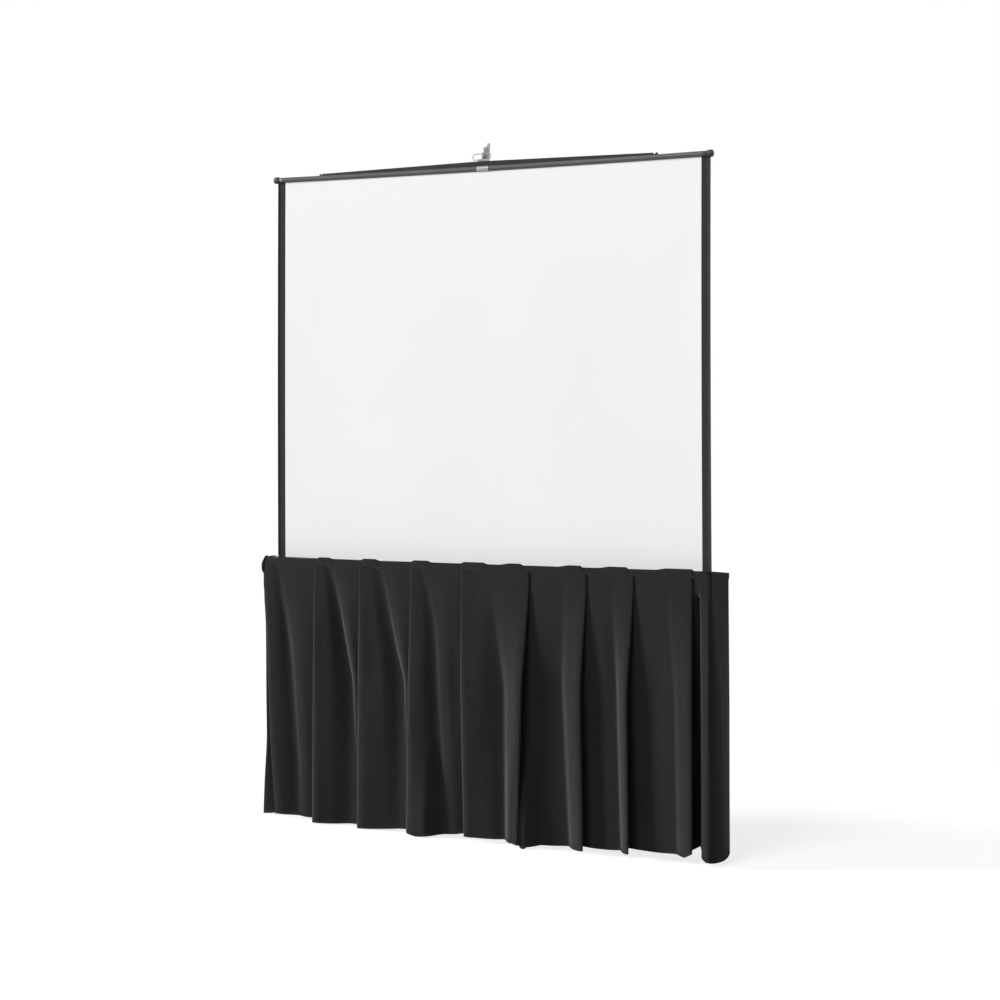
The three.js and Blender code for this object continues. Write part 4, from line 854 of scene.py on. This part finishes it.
def heading_band():
    """The path of the skirt's top in plan, moved out along its normal: rolled at the top, and at
    the lower edge drawn into the cloth below, so that no lip shows."""
    side = RETURN_BACK + TOP_FRONT
    length = 2 * SKIRT_HALF + 2 * side
    t = np.linspace(0.0, length, BAND_COLUMNS)
    x = np.clip(t - side, 0.0, 2 * SKIRT_HALF) - SKIRT_HALF
    depth = TOP_FRONT - np.clip(side - t, 0.0, side) - np.clip(t - length + side, 0.0, side)
    spacing = t[1] - t[0]
    x, depth = blurred(x, CORNER_SPREAD / spacing, 0), blurred(depth, CORNER_SPREAD / spacing, 0)
    run_x, run_d = np.gradient(x), np.gradient(depth)
    size = np.hypot(run_x, run_d)
    out_x, out_d = -run_d / size, run_x / size
    v = np.linspace(0.0, 1.0, 15)[:, None]
    lift = np.where(np.abs(x) < END_STARTS, band_lift(x), 0.0)
    lift = blurred(lift, STEP_SPREAD / spacing, 0)[None, :]
    ends = eased((np.abs(x) - SKIRT_HALF + 0.012) / 0.012)[None, :]
    z = top_edge(x, depth)[None, :] + LUMP_RISE * lift - v * (BAND_HEIGHT + LUMP_RISE * lift)
    roll = TOP_ROLL * np.exp(-((v - 0.08) / 0.16) ** 2) * (1.0 - ends)
    ripple = FAINT_WAVE * np.sin(150.0 * t[None, :]) * v * (1.0 - v)
    out = BAND_OFF - BAND_OFF_LESS * ends + LUMP_PROUD * lift * (1.0 - v) + roll + ripple
    out = out - (DRAWN_IN - DRAWN_IN_LESS * ends) * eased((v - 0.5) / 0.5)
    surface = on_grid(x + out * out_x, CLOTH_Y - depth - out * out_d, z)
    piece = cloth_piece("skirt_band", surface, BAND_SHEET, BAND_CLOTH,
                        t[None, :], BAND_HEIGHT * (1.0 - v))
    return seated(piece, "carriage", "black_drape_cloth", "skirt_heading")


def dressed_skirt():
    skirt_piece, skirt_width = skirt()
    band_piece = heading_band()


# Touch tape on the case's front, and the turns of cloth left on the roller
TAPE_SHEET = 0.0016
TAPE_WAVE = 0.0002
WOUND_TURN = 0.0010  # how far apart the turns lie
WOUND_SHARE = 0.7  # of that, the cloth's own thickness
STEPS_IN_A_TURN = 48


def tape():
    """A flat strip: y = the middle of its depth plus a sine along x, z straight between its
    edges."""
    low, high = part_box("skirt_tape")
    x = np.linspace(low[0], high[0], 240)[None, :]
    z = np.linspace(high[2], low[2], 7)[:, None]
    surface = on_grid(x, (low[1] + high[1]) / 2 + TAPE_WAVE * np.sin(41.0 * x), z)
    piece = cloth_piece("touch_tape", surface, TAPE_SHEET, BAND_CLOTH, x, z)
    seated(piece, "carriage", "black_drape_cloth", "skirt_tape")


def roll():
    """The cloth wound on its tube: the radius grows evenly with the angle, from half a turn's
    thickness over the tube to the outside; x straight from end to end."""
    low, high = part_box("cloth_roll")
    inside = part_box("roller_tube")
    middle = ((low[1] + high[1]) / 2, (low[2] + high[2]) / 2)
    outer = (high[1] - low[1]) / 2
    inner = (inside[1][1] - inside[0][1]) / 2
    turns = (outer - inner) / WOUND_TURN
    angle = np.linspace(0.0, 2 * math.pi * turns, int(STEPS_IN_A_TURN * turns))[:, None]
    radius = inner + WOUND_TURN * (0.5 + (turns - 1.0) * angle / angle[-1])
    x = np.linspace(low[0], high[0], 40)[None, :]
    y, z = middle[0] + radius * np.cos(angle), middle[1] + radius * np.sin(angle)
    white = MATERIALS["white_screen_cloth"]
    thickness = WOUND_SHARE * WOUND_TURN
    piece = cloth_piece("wound_cloth", on_grid(x, y, z), thickness, white, x, radius * angle)
    seated(piece, "roller", "white_screen_cloth", "cloth_roll")


# Slat and bail, which sag a little between their ends, and the domed head over the mast
SLAT_SAG = 0.0040
CLOSED = 0.00001  # the radius that closes an end
BAIL_FOOT = 0.004  # how far above the slat's axis the bail's foot lies
BAIL_END_TOP = 2.5793
BAIL_TRIM = 0.0008
HEAD_MIDDLE = (0.0015, CLOTH_Y + 0.036)
HEAD_HALF = (0.0128, 0.0215)
HEAD_FOOT, HEAD_TOP = 2.594, 2.6445
DOME_HEIGHT = 0.013


def sag_at(x):
    """The sag times one less x squared over the slat's half length squared."""
    return SLAT_SAG * (1.0 - (x / SLAT_HIGH[0]) ** 2)


def slat():
    """A closed tube along x, whose axis sinks by the sag."""
    left, right = SLAT_LOW[0], SLAT_HIGH[0]
    x = np.concatenate([[left], np.linspace(left, right, 81), [right]])
    radius = np.full(len(x), (SLAT_HIGH[2] - SLAT_LOW[2]) / 2)
    radius[[0, -1]] = CLOSED
    places = on_grid(x, SLAT_AXIS[0], SLAT_AXIS[1] - sag_at(x))
    across, upward = along_axis(1, radius), along_axis(2, radius)
    piece = turned("slat_body", places, across, upward, 48, SLAT_METAL)
    seated(piece, "slat", "satin_black_metal", "slat_tube")


def bail():
    """A flat bar on edge: its foot follows the slat's axis, and its top rises evenly from the ends
    to the middle."""
    low, high = BAIL_LOW, BAIL_HIGH
    x = np.concatenate([[low[0]], np.linspace(low[0], high[0], 61), [high[0]]])
    share = 1.0 - np.abs(x) / high[0]
    foot = SLAT_AXIS[1] + BAIL_FOOT - sag_at(x)
    top = BAIL_END_TOP + (high[2] - BAIL_TRIM - BAIL_END_TOP) * share
    middle, tall = (top + foot) / 2, (top - foot) / 2
    thick = np.full(len(x), (high[1] - low[1]) / 2)
    tall[[0, -1]] = thick[[0, -1]] = CLOSED
    places = on_grid(x, (low[1] + high[1]) / 2, middle)
    corner = math.sqrt(2.0)  # from the middle of a square's side to its corner
    across, upward = along_axis(1, thick) * corner, along_axis(2, tall) * corner
    piece = turned("bail_bar", places, across, upward, 4, BAIL_METAL, start=45.0)
    shade(piece)
    seated(piece, "slat", "satin_black_metal", "bail")


def domed_head():
    """A short oval column with a domed top: over the dome the height follows the sine of an angle,
    and the width its cosine to the power 0.7."""
    turn = np.radians(np.linspace(0.0, 89.0, 15))
    dome = HEAD_TOP - DOME_HEIGHT + DOME_HEIGHT * np.sin(turn)
    z = np.concatenate([[HEAD_FOOT, HEAD_FOOT], dome])
    wide = np.concatenate([[0.001, 1.0], np.cos(turn) ** 0.7])
    places = on_grid(HEAD_MIDDLE[0], HEAD_MIDDLE[1], z)
    across, deep = along_axis(0, HEAD_HALF[0] * wide), along_axis(1, HEAD_HALF[1] * wide)
    piece = turned("mast_dome", places, across, deep, 40, DULL_CHROME)
    seated(piece, "mast", "chrome_plate", "mast_hook")


# Clips of the slat: strips bent over the bail, and the middle one round the slat as well, with a
# barrel for the loop
CLIP_SHEET = 0.0011
CLIP_GAP = 0.0003  # between a clip and the bail
WRAP_GAP = 0.0001  # and between it and the slat
SADDLE_SUNK = 0.0005  # how far a saddle's feet reach below the slat's top
CENTRE_SHIFT = 0.010
BARREL = 0.0024
WRAP_TURN = (112, 430)  # degrees
BARREL_TURN = (-60, 250)


def bent_strip(name, path, left, right, sheet):
    """A strip of sheet metal: a path in the y, z plane, thickened along its normals and carried
    from left to right, with its four long edges eased by a quarter of the thickness."""
    path = np.array(path)
    along = np.gradient(path, axis=0)
    along /= np.linalg.norm(along, axis=1, keepdims=True)
    out = np.stack([-along[:, 1], along[:, 0]], axis=1)
    ease = sheet / 4
    stations = [(left, None), (left, ease), (left + ease, 0.0)]
    stations += [(right - ease, 0.0), (right, ease), (right, None)]
    points = []
    for x, inset in stations:
        away = 0.0 if inset is None else sheet / 2 - inset
        shape = np.concatenate([path + out * away, (path - out * away)[::-1]])
        points.append(np.column_stack([np.full(len(shape), x), shape]))
    faces = grid_faces(len(stations), 2 * len(path), closed=True)
    piece = mesh_piece(name, np.concatenate(points), faces, MATERIALS["chrome_plate"])
    shade(piece)
    return piece


def arc(middle, radius, start, end, steps):
    """Points of an arc in the y, z plane, with its angles in degrees from the +y axis."""
    a = np.radians(np.linspace(start, end, steps))
    return np.stack([middle[0] + radius * np.cos(a), middle[1] + radius * np.sin(a)], axis=1)


def saddle(front, back, foot, top):
    """Path of a clip over the bail: up its front, over it with eased corners, down its back."""
    return [
        (front, foot),
        (front, top - 0.0016),
        (front + 0.0004, top - 0.0008),
        ((front + back) / 2, top - CLIP_SHEET / 2),
        (back - 0.0004, top - 0.0008),
        (back, top - 0.0016),
        (back, foot),
    ]


def slat_clips():
    radius = (SLAT_HIGH[2] - SLAT_LOW[2]) / 2 + CLIP_SHEET / 2 + WRAP_GAP
    back = BAIL_HIGH[1] + CLIP_SHEET / 2 + CLIP_GAP
    front = BAIL_LOW[1] - CLIP_SHEET / 2 - CLIP_GAP
    for node in ("bail_clip_left", "bail_clip_right"):
        low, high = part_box(node)
        path = saddle(front, back, SLAT_AXIS[1] + radius - SADDLE_SUNK, high[2])
        piece = bent_strip(node + "_saddle", path, low[0], high[0], CLIP_SHEET)
        seated(piece, "slat", "chrome_plate", node)
    low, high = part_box("centre_clip")
    wrap = arc((SLAT_AXIS[0], SLAT_AXIS[1] - SLAT_SAG), radius, *WRAP_TURN, 41)
    stem = [(back, wrap[-1][1] + 0.004), (back, high[2] - 0.0050)]
    barrel = arc((back - 0.0004, high[2] - 0.0028), BARREL, *BARREL_TURN, 15)
    path = np.concatenate([wrap, stem, barrel])
    left, right = low[0] + CENTRE_SHIFT, high[0] + CENTRE_SHIFT
    piece = bent_strip("loop_clip", path, left, right, CLIP_SHEET)
    seated(piece, "slat", "chrome_plate", "centre_clip")


# Finish of the CAD nodes that stay: shaded smooth below an angle, and their edges eased
EASED_EDGE = {
    "black_plastic": 0.0007,
    "black_rubber": 0.0006,
    "black_enamel": 0.0005,
    "chrome_plate": 0.0003,
    "grey_steel": 0.0003,
}
OWN_METAL = {
    **dict.fromkeys(("case_shell", "case_cap_left", "case_cap_right"), CASE_COAT),
    **dict.fromkeys(("column_tube", "leg_1", "leg_2", "leg_3"), TUBE_METAL),
}


def dress_nodes():
    for name, node in frame["nodes"].items():
        slot = SLOT_OF[name]
        for held in node.material_slots:
            held.material = OWN_METAL.get(name, MATERIALS[slot])
        if node.hide_render:
            continue
        shade(node)
        if slot in EASED_EDGE:
            bevel = node.modifiers.new("edges", "BEVEL")
            bevel.width = EASED_EDGE[slot]
            bevel.segments = 2
            bevel.limit_method = "ANGLE"
            bevel.angle_limit = SHARP_OVER
            bevel.harden_normals = True


# Floor, backdrop and light
FLOOR_REACH = 40.0
FLOOR_NEAR = 1.5  # within this radius the floor shows the object's shadow
FLOOR_FAR = 3.2  # and from here on it is the white of the backdrop
FLOOR_GREY = 0.55
FLOOR_GLOW = 0.78
WORLD_LIGHT = 0.12
WHITE = (1.0, 1.0, 1.0, 1.0)


def seen_directly(tree):
    """1 for rays from the camera, and for those that gloss or glass sends on."""
    path = tree.nodes.new("ShaderNodeLightPath").outputs
    total = path["Is Camera Ray"]
    for name in ("Is Glossy Ray", "Is Transmission Ray"):
        larger = tree.nodes.new("ShaderNodeMath")
        larger.operation = "MAXIMUM"
        tree.links.new(total, larger.inputs[0])
        tree.links.new(path[name], larger.inputs[1])
        total = larger.outputs[0]
    return total


def floor():
    """A pale matt floor that keeps the shadow near the object and turns into the white backdrop
    away from it."""
    n = Nodes("pale_floor")
    seen = seen_directly(n.tree)
    radius = n.add("ShaderNodeVectorMath", {0: n.coords()}, operation="LENGTH")
    away = n.between(radius.outputs["Value"], FLOOR_NEAR, FLOOR_FAR)
    matt = n.add("ShaderNodeBsdfDiffuse", {"Color": (*grey(FLOOR_GREY), 1.0)})
    glow = n.add("ShaderNodeEmission", {"Strength": n.math("MULTIPLY", seen, FLOOR_GLOW)})
    both = n.add("ShaderNodeAddShader", {0: matt.outputs[0], 1: glow.outputs[0]})
    white = n.add("ShaderNodeEmission")
    far = n.math("MULTIPLY", seen, away)
    fade = n.add("ShaderNodeMixShader", {0: far, 1: both.outputs[0], 2: white.outputs[0]})
    n.put(n.output, {"Surface": fade.outputs[0]})
    square = np.array([(-1, -1, 0), (1, -1, 0), (1, 1, 0), (-1, 1, 0)]) * FLOOR_REACH
    mesh_piece("floor", square, np.array([[0, 1, 2, 3]]), n.material, smooth=False)


def world():
    """White where it is seen directly, and a faint light on everything else."""
    made = bpy.data.worlds.new("studio")
    made.use_nodes = True
    tree = made.node_tree
    background = tree.nodes["Background"]
    level = tree.nodes.new("ShaderNodeMapRange")
    level.inputs["To Min"].default_value = WORLD_LIGHT
    level.inputs["To Max"].default_value = 1.0
    tree.links.new(seen_directly(tree), level.inputs["Value"])
    tree.links.new(level.outputs["Result"], background.inputs["Strength"])
    background.inputs["Color"].default_value = WHITE
    bpy.context.scene.world = made


def link_lamp(data, place_at, towards):
    light = bpy.data.objects.new(data.name, data)
    light.location = place_at
    aim = np.array(towards) - np.array(place_at)
    flat = math.hypot(aim[0], aim[1])
    light.rotation_euler = (math.atan2(flat, -aim[2]), 0.0, math.atan2(-aim[0], aim[1]))
    bpy.context.scene.collection.objects.link(light)


def lamp(name, place_at, towards, size, power):
    data = bpy.data.lights.new(name, "AREA")
    data.shape = "SQUARE"
    data.size = size
    data.energy = power
    link_lamp(data, place_at, towards)


def sun(name, place_at, softness, strength):
    """A far lamp in the direction of a place: its light is even over the whole object."""
    data = bpy.data.lights.new(name, "SUN")
    data.angle = softness
    data.energy = strength
    link_lamp(data, place_at, (0.0, 0.0, 0.0))


add_camera()
screen_cloth()
dressed_skirt()
tape()
roll()
slat()
bail()
domed_head()
slat_clips()
dress_nodes()
floor()
world()
sun("side_key", (-15.5, -6.5, 4.2), softness=0.24, strength=3.7)
lamp("front_fill", (-2.0, -11.0, 9.5), towards=(0.0, 0.0, 1.4), size=6.0, power=735.0)
bpy.context.scene.view_settings.view_transform = "Standard"
